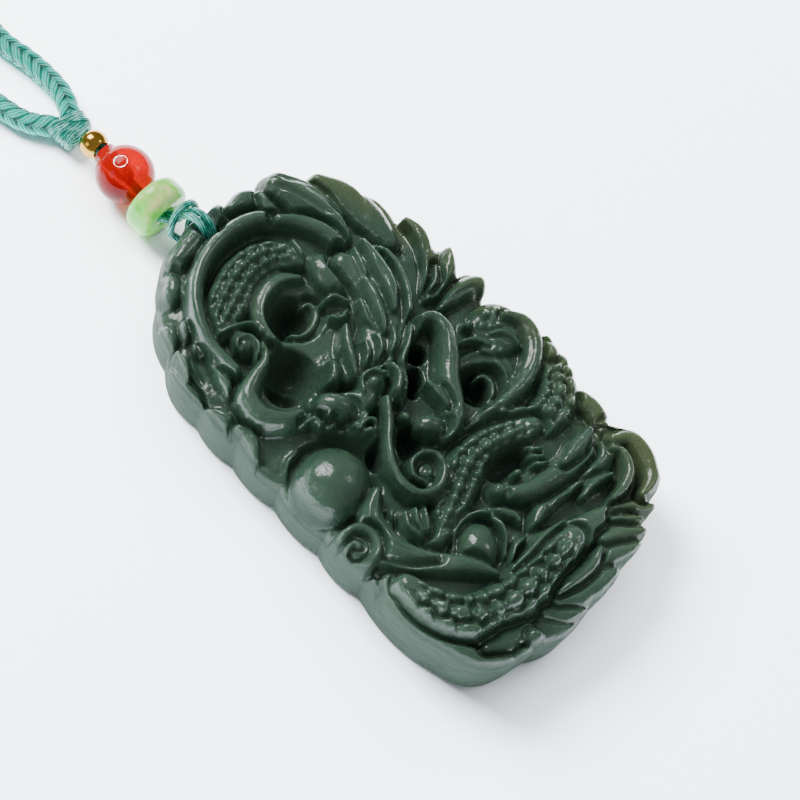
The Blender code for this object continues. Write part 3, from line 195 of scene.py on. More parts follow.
class Relief:
    """A height field that forms are laid on, one over another, as they are carved.

    Each form is drawn where the photo's view shows it at one level, so a higher form stands nearer the eye.
    """
    level, slant = 9.0, (0.461, 0.159)
    margin = 3      # how far round a form its trench is cut

    def __init__(self, x, y, ground):
        self.x, self.y, self.z = x, y, ground

    def near(self, line, top, reach):
        """The points near a line, with their distance from it, side, place along it and share along it."""
        line = line + np.array(self.slant) * (self.level - top)
        low, high = line.min(axis=0) - reach, line.max(axis=0) + reach
        at = np.nonzero((self.x > low[0]) & (self.x < high[0]) & (self.y > low[1]) & (self.y < high[1]))[0]
        px, py = self.x[at], self.y[at]
        best, side, along = (np.full(len(at), v) for v in (1e9, 1.0, 0.0))
        run = 0.0
        for a, b in zip(line, line[1:]):
            d = b - a
            long = max(math.hypot(*d), 1e-9)
            t = np.clip(((px - a[0]) * d[0] + (py - a[1]) * d[1]) / long ** 2, 0, 1)
            gx, gy = px - a[0] - t * d[0], py - a[1] - t * d[1]
            far = np.hypot(gx, gy)
            closer = far < best
            best = np.where(closer, far, best)
            side = np.where(closer, np.sign(d[0] * gy - d[1] * gx), side)
            along = np.where(closer, run + t * long, along)
            run += long
        return at, best, side, along, along / max(run, 1e-9)

    def lay(self, at, share, outside, top, drop, full, moat):
        """Puts a form over what is there, and cuts a trench round it down to its own lip."""
        form = top - drop * (1 - np.sqrt(np.clip(1 - np.clip(share, 0, 1) ** full, 0, 1)))
        z = self.z[at]
        trench = top - drop + moat * outside * (1 + 1.5 * outside)
        self.z[at] = np.where(outside < 0, form, np.minimum(z, trench))

    def band(self, points, width, top, drop=2.0, full=2.0, moat=1.6, ridges=0, scales=None):
        """A rounded band along a smooth line, as wide as width says. scales are (pitch, rows, bump)."""
        half = np.array(width) / 2.0
        at, far, side, along, share = self.near(smooth_line(points), top, half.max() + self.margin)
        wide = np.maximum(np.interp(share, np.linspace(0, 1, len(half)), half), 0.05)
        q = far / wide
        self.lay(at, q, far - wide, top, drop, full, moat)
        inside = far < wide
        if ridges:
            wave = np.abs(np.sin(math.pi * (side * q + 1) / 2 * ridges)) ** 0.6
            self.z[at] -= np.where(inside, 0.42 * (1 - wave) * np.clip(1.2 - q, 0, 1), 0)
        if scales:
            pitch, rows, bump = scales
            across = (side * q + 1) / 2 * rows
            row = np.floor(across)
            # Each row is half a scale on from the last, with a slight wobble.
            step = along / pitch + 0.5 * (row % 2) + 0.12 * np.sin(2.3 * along + 1.7 * row)
            a, b = 2 * (step - np.floor(step)) - 1, 2 * (across - row) - 1
            # Each scale is a dome, which fades out at the band's ends and down its flanks.
            ends = np.clip(9 * np.minimum(share, 1 - share), 0, 1)
            dome = np.sqrt(np.clip(1 - 1.02 * a * a - 1.02 * b * b, 0, 1))
            self.z[at] += np.where(inside, bump * ends * (dome - 0.45) * np.clip(1.6 - 1.3 * q, 0, 1), 0)

    def ring(self, x, y, rx, ry, top, turn):
        """How far each point lies from an oval's middle, as a share of the oval's own reach."""
        sx, sy = (v * (self.level - top) for v in self.slant)
        c, s = math.cos(math.radians(turn)), math.sin(math.radians(turn))
        gx, gy = self.x - x - sx, self.y - y - sy
        reach = max(rx, ry) + self.margin
        q = np.hypot((gx * c + gy * s) / rx, (gy * c - gx * s) / ry)
        return q, np.nonzero((np.abs(gx) < reach) & (np.abs(gy) < reach))[0]

    def oval(self, x, y, rx, ry, top, drop=2.0, turn=0, full=2.0, moat=1.6):
        """A dome on an oval foot."""
        q, at = self.ring(x, y, rx, ry, top, turn)
        self.lay(at, q[at], (q[at] - 1) * min(rx, ry), top, drop, full, moat)

    def pit(self, x, y, rx, ry, floor, rim, turn, steep):
        """A hollow with steep sides, cut down to its floor."""
        q, _ = self.ring(x, y, rx, ry, rim, turn)
        self.z = np.minimum(self.z, floor + (rim - floor) * q ** steep)

    def mark(self, points, width, depth, top=9.0):
        """A groove along a line, or a thin ridge where depth is negative."""
        at, far, _, _, share = self.near(smooth_line(points), top, 2 * width)
        fade = np.clip(5 * np.minimum(share, 1 - share) + 0.25, 0, 1)
        self.z[at] -= depth * fade * np.exp(-(far / (0.5 * width)) ** 2)


def carve(x, y):
    """The height of the front at each point, all in drawn units."""
    edge = outline(np.arctan2(y, x))
    inset = np.clip(1 - np.hypot(x, y) / edge, 0, 1)
    ground = 6.4 + 0.9 * np.clip(4 * inset, 0, 1)
    r = Relief(x, y, ground + 0.2 * np.sin(0.9 * x + 0.5 * y) * np.cos(0.7 * y - 0.4 * x))
    for form in (border, fins, coil_top, mane, hollows, belly, claws, lower_body, tail, head, clouds,
                 cord_seat):
        form(r)
    # The front rolls over into the wall all round, most of all along the left side.
    roll = ROLL + LEFT_ROLL * np.clip(-x / 12, 0, 1)
    t = np.clip(1 + (np.hypot(x, y) - edge) / roll, 0, 1)
    return r.z - roll * (1 - np.sqrt(1 - 0.96 * t * t))


def border(r):
    """The cloud lobes down the left side and along the top, beside the cord hole."""
    r.band([(-3.8, 27.8), (-5.7, 27.5), (-7.8, 27)], (2.2, 3.2, 2.4), 8.4)
    r.oval(-10.6, 25, 2.1, 1.4, 8.2, 2, -137)
    r.oval(-14.7, 21.3, 1.8, 1.6, 8, 2, -139)
    r.band([(-17, 19.4), (-17.6, 17), (-17.8, 14.6), (-17.8, 12.2)], (2.2, 3.8, 3.8, 2.2), 8.3, 2.4)
    r.band([(-19.4, -7.4), (-19.6, -9.7), (-18.6, -11.5), (-16.9, -11.7)], (2.4, 3.2, 3, 1.8), 8.4, 2.2)
    r.band([(-16.8, 12.6), (-16.4, 10.9), (-16.8, 9)], (1.2, 2.6, 1.8), 8.7, 1.8)
    r.band([(-15.9, 9.1), (-15.9, 7.4), (-16.8, 5.8)], (1.2, 2.4, 1.6), 8.9, 1.8)
    r.oval(-9.5, 23.3, 1.2, 0.7, 9, 1.3, -132)
    r.oval(-8.3, 24.4, 1.2, 0.7, 9, 1.2, 31)
    r.oval(-12.2, 20.6, 1.3, 0.9, 8.9, 1.4, -135)
    r.band([(-14.8, 19.3), (-15.2, 17.9), (-15.8, 16.7)], (0.7, 1.2, 0.6), 9, 1.3)
    r.oval(-12.5, 18.1, 1.1, 0.9, 9.2, 1.4, -95)
    r.band([(-12.6, 16.5), (-13.4, 13.7), (-14.1, 11.1)], (0.9, 1.5, 0.9), 9.2, 1.5)
    r.mark([(-13.9, 18.4), (-14.6, 16.7), (-14.9, 15.1)], 0.5, 0.5, 8.6)
    r.band([(-1.9, 28.4), (-0.2, 28.4), (1.2, 27.8)], (1.8, 2.6, 1.4), 8.4, 1.8)
    r.band([(0.8, 27.9), (2.7, 27.9), (4, 27)], (1.8, 3, 2.2), 8.6, 1.9)
    r.band([(4.3, 27.2), (4, 25.9), (4.1, 24.4)], (1.2, 1.8, 1.2), 8.9, 1.5)


def fins(r):
    """The smooth back along the top right, the strands on its crest and the flame-like fins."""
    r.band([(10.4, 24.5), (11.5, 21.6), (11.7, 17.8), (11.4, 14.3)], (2.4, 4.2, 4.2, 2.6), 8.7, 2.2, 2.4)
    r.band([(6.8, 26.7), (7.6, 24.5), (8.1, 22.1), (8.3, 19.8), (8.1, 17.6)],
           (3.6, 4.6, 4.4, 3.2, 1.2), 9.4, 2, 2.4)
    r.mark([(7.1, 27.5), (8.6, 25.1), (9.4, 22.5), (9.4, 19.8)], 0.7, 0.45, 9.3)
    r.mark([(6.1, 27), (7.2, 24.6), (7.9, 22.3), (8.3, 20)], 0.7, 0.45, 9.3)
    r.mark([(7.8, 26.3), (9.2, 23.8), (9.7, 21.2)], 0.5, -0.3, 9.3)
    r.mark([(6.3, 26.2), (7, 24), (7.6, 21.6)], 0.5, -0.3, 9.3)
    r.band([(14.6, 15), (14.7, 13.1), (13.8, 10.9), (12.2, 9), (9.9, 7.7)],
           (1.2, 2.2, 2.4, 1.8, 0.8), 8.7)
    r.band([(15.9, 9.3), (14.3, 8), (12.2, 7.2), (9.5, 6.8)], (1.6, 2.6, 2.2, 1), 8.6, 1.9)
    r.band([(16, 4.2), (14.7, 5), (12.4, 5.2), (9.8, 5.1)], (2.2, 2.6, 2, 0.9), 8.7)
    r.band([(13.1, 9), (12, 7.9), (10.6, 7.4)], (0.7, 1.1, 0.6), 8.5, 1.4)
    r.mark([(14.3, 13.7), (13.7, 12), (12.1, 10.3)], 0.5, -0.35, 8.7)
    r.mark([(15, 4.3), (13.6, 4.9), (11.6, 5.1)], 0.4, 0.3, 8.7)


def coil_top(r):
    """The body's coil at the top: a scaled band inside a smooth arch, round a hollow."""
    r.band([(-10, 18.7), (-6.5, 20.3), (-2.9, 21.4), (0.3, 20.9), (2, 19)],
           (3.6, 4.8, 5, 4.6, 2.2), 9.2, 1.7, 2.6, scales=(1.35, 4, 1.1))
    r.band([(-11.4, 12.6), (-11.6, 14.8), (-11.5, 17.9), (-10.2, 21.1), (-7.8, 23.8), (-4.7, 25.4),
           (-1.4, 25.9), (1.7, 25.4), (3.7, 23.9)],
           (1.2, 1.7, 1.9, 2, 2, 2.1, 2.2, 2.3, 1.8), 9.9, 2.3, 2.2)
    r.band([(3.8, 23.6), (5.4, 22), (6.7, 19.4), (6.6, 16.6), (5.6, 14.2)],
           (1.8, 2.3, 2.3, 1.8, 0.9), 9.6, 2.1, 2.2)
    r.band([(0.6, 17.3), (-1.1, 18.5), (-3.4, 18.3), (-5.5, 16.9), (-6.5, 14.9), (-6.3, 13.2)],
           (1, 1.8, 2, 2, 1.8, 0.8), 8.9, 1.1)
    r.pit(-3, 14.6, 3.0, 3.2, 3.2, 8.6, -75, 2)
    r.mark([(1, 15.7), (-0.4, 17.7), (-2.6, 18.2), (-4.9, 17.2), (-6.2, 15.2),
           (-6.3, 13.2)], 0.5, -0.35, 8.8)
    r.mark([(0, 16.6), (-1.7, 17.5), (-4, 16.9), (-5.3, 15.1), (-5.5, 13.4)], 0.45, -0.3, 7.6)
    r.band([(-1.8, 14.8), (-0.9, 14.6), (-0.8, 13.6), (-1.7, 12.7), (-2.9, 12.3), (-4.2, 12.5),
           (-4.9, 13.4)], (0.5, 0.9, 1.1, 1.1, 1, 0.8, 0.4), 7, 1.4)
    r.mark([(0, 13.1), (-0.8, 12), (-2.2, 11.5)], 0.7, -0.7, 8)
    r.mark([(-4, 14.3), (-3.8, 13.6), (-3.1, 13.4)], 0.5, -0.5, 6)
    r.band([(3.1, 21), (2.8, 19.3), (2.4, 17.6)], (0.4, 0.8, 0.4), 9.4, 1.2)
    r.oval(3.6, 15.9, 2.7, 1.8, 9.7, 1.9, -100)


def mane(r):
    """The locks that sweep back from the head, in a rounded shell."""
    r.band([(5.7, 15.7), (6.2, 11.5), (4.5, 8.1), (1.1, 6.1), (-3.1, 6.3)],
           (3, 5, 5.6, 5, 3), 9, 2.2, 2.6)
    r.band([(8.9, 16), (10.1, 13.1), (8.9, 9.3), (6.1, 6.2), (2.4, 4.5), (-0.9, 4.4)],
           (0.6, 1, 1.2, 1.2, 1, 0.6), 9.7, 1.5)
    r.band([(7.7, 16.2), (7, 14.2), (6.1, 12.4)], (0.5, 0.9, 0.5), 9.6, 1.3)
    r.band([(3.9, 11.4), (3.2, 9.5), (2.9, 7.6)], (0.6, 1.1, 0.5), 9.7, 1.3)
    r.band([(0.5, 13.7), (2, 13.4), (2.8, 12)], (0.5, 0.9, 0.5), 9.2, 1.4)
    r.band([(0.1, 12), (0.8, 11.1), (2.1, 11.4)], (0.5, 0.9, 0.5), 9.4, 1.3)
    r.band([(9, 16.1), (8.6, 13.5), (7.8, 10.7), (6, 8.2)], (1, 2.1, 2.1, 0.8), 10.2, 1.8, 1.8)
    r.band([(6, 12.7), (5.4, 10.7), (4.4, 8.6), (3.4, 7)], (1, 1.9, 1.7, 0.6), 10.2, 1.7, 1.8)
    r.band([(0.6, 10.1), (-0.7, 8.5), (-1.7, 6.8), (-2.5, 5.3)], (0.9, 1.6, 1.3, 0.6), 10.3, 1.7, 1.8)
    r.band([(1, 7.7), (0.3, 6.5), (-0.8, 5.7)], (0.5, 0.9, 0.4), 10.2, 1.3)
    r.band([(2.5, 7.4), (1.9, 6.1), (0.7, 5.3)], (0.5, 1, 0.4), 10.2, 1.3)
    r.band([(4.4, 6.9), (3.4, 5.6), (2, 4.9)], (0.5, 1, 0.4), 10.1, 1.3)
    r.oval(-4.3, 7.2, 2.1, 1.2, 10.1, 1.7, -141)
    r.mark([(8.4, 14.4), (7.6, 11.8), (6.7, 9.5)], 0.35, -0.25, 10.2)
    r.mark([(5.7, 11.4), (4.7, 9.4), (3.8, 7.7)], 0.35, -0.25, 10.2)
    r.mark([(0.6, 9.4), (-0.8, 7.7), (-2, 5.9)], 0.35, -0.25, 10.3)


def hollows(r):
    """The deep hollow held by a smooth C-shaped horn, with the knob that the horn starts from."""
    r.pit(-7.6, 10, 3.4, 3.3, 3.6, 8.2, 32, 2)
    r.pit(-9.4, 9.2, 1.9, 2.2, 3.4, 8.2, 28, 3)
    r.band([(-7.4, 14.4), (-8.5, 12.7), (-10.7, 12), (-12.6, 10.9), (-12.9, 8.7), (-11.5, 6.8),
           (-9.4, 5.9), (-7.4, 5.9)], (0.9, 1.5, 2.2, 2.9, 2.9, 2.6, 2.2, 1.2), 10, 2.6, 2.1)
    r.oval(-8.8, 15.6, 1.6, 1.3, 9.7, 1.8, -90)
    r.band([(-9.1, 13.5), (-8, 14.3), (-7.9, 15.6), (-8.9, 16.2), (-9.8, 15.7), (-9.7, 14.9)],
           (0.4, 0.6, 0.6, 0.5, 0.4), 10.1, 1.1)
    r.band([(-10.3, 18), (-8.5, 17.5), (-6.9, 16.7), (-6.6, 15.2)], (0.4, 0.7, 0.7, 0.4), 9.6, 1.2)


def belly(r):
    """The right side's coil: its belly band, its scales and the hollow that it winds round."""
    r.band([(14.5, -12.1), (15, -14.1), (14.1, -16.5)], (2.8, 3.8, 2.2), 8.4, 2.1)
    r.band([(15.9, -5), (14.5, -8.1), (12.3, -10.4), (9.2, -10.7), (7.3, -8.9)],
           (2.8, 4.2, 4.8, 4.6, 3), 9.1, 2, 2.6, scales=(1.45, 3, 1.1))
    r.oval(15.6, -5.9, 1.4, 1.2, 9.1, 1.5, -86)
    r.oval(13.1, -0.4, 3.3, 3.3, 8.8, 1.8, -45, 3)
    for x, y in ((13.1, 1.5), (13.9, -0.3), (11.9, 0.8), (14.5, 0.8), (10.8, 1.9)):
        r.oval(x, y, 0.6, 0.6, 9.1, 0.7)
    r.band([(11.9, -0.4), (13.4, -1.4), (13.6, -3.5)], (0.5, 1, 0.5), 9.2, 1.1)
    r.band([(8.6, 1), (10.2, 0.2), (11, -1.2)], (0.5, 0.9, 0.5), 9, 1.1)
    r.pit(7.2, -3.6, 2.8, 2.9, 3, 8.8, -48, 2.2)
    r.mark([(6.9, -0.4), (9.2, -0.8), (10.3, -2.3), (10.3, -4.2), (9.1, -5.9)], 0.55, -0.5, 8.4)
    r.band([(6.7, -3.1), (7.8, -3.4), (8, -4.5), (7.2, -5.5), (5.9, -6)],
           (0.5, 0.9, 1.1, 0.9, 0.5), 6.6, 1.3)
    r.mark([(6.5, -3.9), (7.1, -4.4), (6.6, -5.1)], 0.5, -0.5, 6.5)
    r.mark([(11, -1.8), (11.5, -3.5), (11.2, -5.4)], 0.5, -0.4, 8.9)
    r.band([(15.1, 0), (16, -1.7), (15.5, -3.7), (13.6, -5.5), (10.8, -6.6), (7.5, -6.7), (4.4, -6.5),
           (2.5, -6.3)], (1.4, 2.1, 2.3, 2.3, 2.1, 1.7, 1.3, 0.6), 9.7, 1.9, 2.3)
    r.mark([(15.7, -1.3), (14.9, -3.7), (12.9, -5.4), (9.8, -6.1), (6, -6.3)], 0.35, 0.3, 9.6)
    r.band([(1, -6.4), (3.1, -6.7), (4.7, -7.5), (6.7, -8.1)], (0.7, 1.5, 1.5, 0.7), 9.9, 1.6)
    r.band([(6.7, -7.4), (7.5, -8.6), (7, -9.7)], (0.7, 1.3, 0.7), 10, 1.4)


def limb(r):
    """The foreleg that bends over the middle, with its paw."""
    r.pit(4.9, 3.3, 1.3, 1.3, 4, 9.6, -135, 3)
    r.pit(2.3, 1.2, 2.3, 1.1, 4, 9.4, -140, 3)
    r.band([(5.7, 5.2), (7.3, 5.6), (8.7, 4.8), (8.6, 2.9), (7.1, 0.9), (5.2, -0.9), (3.7, -3),
           (2.3, -4.6), (0.6, -5.1)], (1.2, 1.8, 2.3, 2.7, 2.9, 2.9, 2.9, 2.7, 1.8), 10.6, 2.7, 2.1)
    r.band([(6.1, 5.8), (4.4, 4.5), (2.3, 3.4), (1.1, 1.6), (-0.7, 0.3)], (0.6, 1, 1, 1, 0.6), 9.9, 1.8)
    r.oval(0, 2.2, 2.0, 1.1, 10, 1.7, -127)
    r.band([(2.7, 0.1), (2.9, -1.4), (2.6, -3.1)], (0.8, 1.5, 0.9), 10.4, 1.5)
    r.oval(-0.3, -3.4, 1.8, 1.3, 10.3, 2, -41)
    r.oval(-1.8, -1.2, 0.8, 0.7, 9.6, 1.3, -90)
    r.mark([(8.4, 4.4), (8.1, 2.4), (6.1, 0.2)], 0.5, -0.25, 10.5)


def head(r):
    """The dragon's head: brow, eye and nostril, seen from its left side, with the foreleg beside it."""
    limb(r)
    r.band([(-7.7, 5.8), (-5.9, 3.9), (-3.7, 3), (-1.4, 3.4)], (2.6, 3.8, 3.4, 2.4), 9.8, 2.4, 2.4)
    r.band([(-8.6, 2.1), (-7.3, 0.5), (-5.8, -0.3)], (2, 3, 2), 9.4, 2.2, 2.4)
    r.band([(-8.9, 5.5), (-8.4, 3.2), (-6.9, 1.9), (-4.5, 1.6)], (0.5, 0.9, 0.9, 0.5), 10.3, 1.4)
    r.oval(-6.2, 4.5, 2.4, 1.6, 11, 2.4, -52)
    r.band([(1.3, 4), (1.2, 2.7), (-0.2, 1.5), (-2.1, 1.1)], (0.7, 1.3, 1.3, 0.7), 10.6, 1.8)
    r.band([(-3.1, 3.6), (-2.1, 4.8), (-0.7, 4.7), (0.3, 3.5)], (0.4, 0.7, 0.7, 0.4), 10.7, 1.2)
    r.oval(-1.5, 3.7, 0.8, 0.75, 11, 1.4, -40)
    r.band([(-6.7, 0.2), (-5.9, 1.1), (-4.7, 1), (-4.5, -0), (-5.6, -0.8)],
           (0.4, 0.6, 0.6, 0.6, 0.4), 10.4, 1.1)
    r.oval(-5.7, 0.1, 0.6, 0.55, 10.3, 0.9, -39)
    r.band([(-10.6, 5.1), (-9.2, 4.6), (-9.3, 3.1), (-8, 3)], (0.5, 0.9, 0.9, 0.5), 9.6, 1.5)
    r.band([(-7.9, 1.9), (-8, 0.3), (-7.3, -0.7)], (0.5, 0.9, 0.5), 9, 1.4)


def clouds(r):
    """The pearl, the whisker that coils beneath the head, and the cloud scroll with its arm."""
    r.pit(-13.0, -1.6, 5.2, 5.2, 5.6, 7.6, 0, 6)
    r.mark([(-15.7, 2.3), (-14.5, 3.2), (-12.9, 3.1)], 0.5, -0.5, 8)
    r.oval(-11.7, -1.2, 4.2, 4.1, 10.6, 4.4, 0, 2, 1.2)
    r.oval(-4.4, -6.9, 1.8, 1.9, 9.3, 1.8, -41, 4)
    r.band([(-1.8, 1.5), (-3.4, -0.5), (-5.1, -2.1), (-6.5, -4.1), (-7, -6.2), (-6.4, -8.1),
           (-4.6, -8.8), (-2.8, -7.9), (-2.2, -6.3), (-3.2, -5.1), (-4.8, -5.1), (-5.7, -6.3),
           (-5.2, -7.4)], (1.3, 1.4, 1.5, 1.5, 1.6, 1.6, 1.5, 1.4, 1.3, 1.1, 1, 0.9, 0.5), 10.5, 2.2)
    r.mark([(-1.8, 0.9), (-4.6, -2.1), (-6.3, -4.7), (-6.6, -7.3), (-4.8, -8.3)], 0.35, 0.25, 10.5)
    r.oval(-4.3, -7.2, 0.4, 0.45, 9.9, 0.9, -45)
    r.band([(-14, -9.6), (-12.9, -11), (-11.5, -13.1), (-9.8, -15.1), (-7.8, -17.2), (-6.7, -19.3)],
           (2.4, 2.8, 2.8, 2.6, 2.2, 1), 9.4, 2.1, 2.4)
    r.band([(-9.8, -5), (-11.6, -6.2), (-12.6, -8), (-12.5, -10.1), (-11.5, -12.2), (-10, -14)],
           (1.4, 2.6, 3.2, 2.8, 2, 0.8), 9.8, 1.9, 2.2, ridges=4)
    r.oval(-15.3, -8, 2.0, 1.9, 8.9, 1.8, -49, 3)
    r.band([(-16.9, -6.2), (-15.2, -6.1), (-13.8, -6.6), (-13.3, -8.2), (-14.2, -9.6), (-15.8, -9.8),
           (-16.8, -8.8), (-16.6, -7.5), (-15.4, -7.3), (-15, -8.1)],
           (0.9, 1.2, 1.3, 1.3, 1.2, 1.1, 1, 0.9, 0.7, 0.4), 9.8, 1.7)


def claws(r):
    """The scaled body across the middle, the fore claws, the round joint and the hind leg with its pads."""
    r.band([(-8.6, -12.5), (-5.7, -11.4), (-3, -10.2), (-0.3, -9.1), (2.5, -9.1), (5.2, -9.8),
           (8.1, -10.7)], (2.4, 3.8, 4.6, 4.8, 4.4, 3.8, 2.4), 9.2, 2, 2.6, scales=(1.45, 3, 1.15))
    r.oval(-9.4, -10.1, 1.8, 1.9, 9.2, 1.8, -49, 3)
    r.band([(-10, -7.4), (-11.3, -8.8), (-11.3, -10.7), (-10, -12.2)], (0.5, 0.9, 0.9, 0.5), 9.7, 1.4)
    for claw in ([(-9.1, -8.4), (-9.9, -9.6), (-9.9, -10.8)], [(-8, -8.8), (-8.7, -9.7), (-9.1, -11)],
                 [(-7.1, -9.3), (-8, -10.4), (-8.6, -11.5)]):
        r.band(claw, (0.5, 0.9, 0.5), 9.9, 1.3)
    r.pit(2.8, -12.3, 3.3, 1.6, 5.2, 7.6, -12, 3)
    r.pit(-3.6, -3.5, 2.5, 1.4, 4.8, 7.8, 43, 3)
    r.pit(-7.7, -2.6, 1.5, 1, 5.2, 7.8, 70, 3)
    r.pit(-5.7, -16.1, 3.6, 2.9, 6.2, 8.6, 44, 5)
    r.band([(-8, -14.7), (-5.9, -13.3), (-3.6, -13.5), (-2.4, -14.9), (-3, -16.9), (-4.5, -18.6)],
           (0.5, 0.8, 0.9, 0.9, 0.8, 0.4), 9.1, 1.5)
    r.oval(-5.8, -16.1, 2.8, 2.2, 9.3, 2.2, 42)
    r.band([(8.5, -18.1), (10.9, -18), (13.1, -17.7)], (2.4, 3.6, 2), 9, 2.1)
    r.band([(-0.8, -18.8), (1.2, -17.9), (3.7, -17.6), (6.3, -18.1), (7.6, -18.6)],
           (0.8, 1.9, 2.1, 1.6, 0.6), 9.2, 1.8)
    r.band([(2.8, -18.1), (4.3, -17.9), (5.7, -18.4)], (0.4, 0.8, 0.4), 9.6, 1)
    r.band([(6.2, -19.6), (8.4, -19.4), (10.6, -20)], (0.7, 1.4, 0.7), 9.2, 1.5)
    r.band([(-4.7, -19.5), (-3, -18.6), (-1, -18.8)], (0.5, 0.9, 0.4), 8.9, 1.4)
    r.band([(-1.8, -14.6), (-1.3, -15.4), (-0.8, -16.4), (-1, -17.2)], (0.8, 1.5, 1.4, 0.6), 9.1, 1.6)
    r.band([(-0.1, -13.4), (2, -15.1), (4.7, -15.9), (7.6, -16.1), (10.6, -16.2)],
           (1.8, 2.5, 2.7, 2.9, 2.2), 9.7, 2.3, 2.1)
    r.band([(7.5, -15.6), (9.7, -15.4), (12.3, -15)], (1.2, 2.3, 1.3), 10, 1.9)
    r.oval(0, -13.2, 1.0, 0.95, 10.3, 1.7, -61)
    r.mark([(0.7, -13.1), (0.7, -13.8), (0, -14)], 0.3, 0.3, 10.2)
    r.oval(2.8, -13.2, 0.7, 0.5, 9.5, 1.1, -27)
    for pad in ([(5.8, -11.8), (6.1, -12.6), (7, -13)], [(5.4, -12.7), (5.8, -13.5), (6.6, -13.7)],
                [(4.9, -13.6), (5.4, -14.2), (6.3, -14.5)]):
        r.band(pad, (0.4, 0.8, 0.4), 9.4, 1.2)


def lower_body(r):
    """The scaled coil across the bottom with the smooth lip under it."""
    r.band([(-15.4, -12.4), (-16.2, -14.7), (-16.7, -18), (-16, -21.4), (-14.3, -24.2), (-12, -26.2),
           (-9.2, -27.4)], (1.4, 2.2, 2.6, 2.5, 2.3, 2, 1.2), 9.1, 1.7, 2.3)
    r.band([(-0.5, -21.1), (2.7, -21.9), (5.7, -22.3), (8.2, -22.6)], (4.6, 3.9, 3, 1.5), 9.5, 2.1, 2.3)
    r.band([(-14.3, -14), (-14, -16.5), (-12.9, -19.1), (-10.8, -21.2), (-7.5, -22.3), (-3.8, -22.3),
           (-0.8, -22.2), (2.3, -21.9)],
           (3, 4.2, 5.2, 5.6, 5.6, 5.4, 4.8, 3.2), 10, 2.2, 2.6, scales=(2.0, 3, 1.5))
    r.band([(-5.2, -19.9), (-2.6, -19.9), (0.2, -19.7), (3, -20)], (0.4, 0.9, 0.9, 0.4), 10, 1.4)
    r.oval(-10, -26.9, 1.4, 1.1, 8.9, 1.4, -78)


def tail(r):
    """The waves along the bottom edge, and the tail's fan at the lower right."""
    r.band([(-10.1, -25.8), (-7.7, -26.7), (-5.4, -27.7), (-2.8, -28.5)], (1.2, 2.8, 3, 1.5), 7.6, 0.9)
    r.band([(-13.3, -24.1), (-11.1, -25), (-8.4, -25.6)], (1.4, 2.5, 1.4), 8.2, 1)
    r.band([(-6.1, -25.6), (-4.3, -26.7), (-1.8, -27.6), (-0.2, -27.8)], (1.2, 2.9, 2.9, 1.2), 8.2, 1.1)
    r.band([(-4, -25.6), (-1.5, -26.5), (1.3, -27.1), (2.8, -27.6)], (1.4, 3.1, 3.1, 1.6), 8.6, 1.3)
    r.band([(1.1, -24.9), (3.8, -25.7), (6.9, -27.1)], (1.4, 2.7, 1.8), 8.7, 1.4)
    r.band([(4.4, -24.3), (6.8, -25.1), (8.7, -26.6)], (1.4, 2.5, 1.5), 8.7, 1.4)
    r.band([(6.7, -23.4), (8, -24.3), (9.3, -25.6)], (0.7, 1.4, 0.9), 8.6, 1.5)
    r.band([(7.8, -22.8), (9.5, -23.8), (11.5, -25.4)], (0.8, 1.5, 1.1), 8.6, 1.5)
    r.oval(14.1, -16.9, 1.9, 1.3, 8.1, 0.9, -75, moat=9)
    r.band([(13.6, -17.5), (15.2, -18.7), (15.1, -21.2), (13.7, -23.2), (11.4, -23.8)],
           (1.8, 2.8, 3.2, 2.8, 1.5), 8.8, 2.1)
    r.band([(12.8, -18), (13.3, -19.1), (12.3, -20.9), (10.5, -21.7), (8.5, -21.8)],
           (0.8, 1.5, 1.7, 1.5, 0.7), 9.5, 1.8)
    r.band([(-3.3, -25), (-0.9, -25.2), (1.6, -25.3), (3.6, -24.7)], (0.8, 1.9, 1.9, 0.8), 9.1, 1.7)
    r.oval(-8.4, -26.5, 1.1, 1, 8.7, 1.3, -80)
    r.mark([(-2.6, -25.2), (-0.2, -25.3), (2, -25.3)], 0.4, -0.25, 9.1)


def cord_seat(r):
    """A shallow seat where the cord passes over the rim."""
    r.pit(-2.9, 28.7, 1.7, 2.1, 6.4, 8, 0, 4)


# Materials

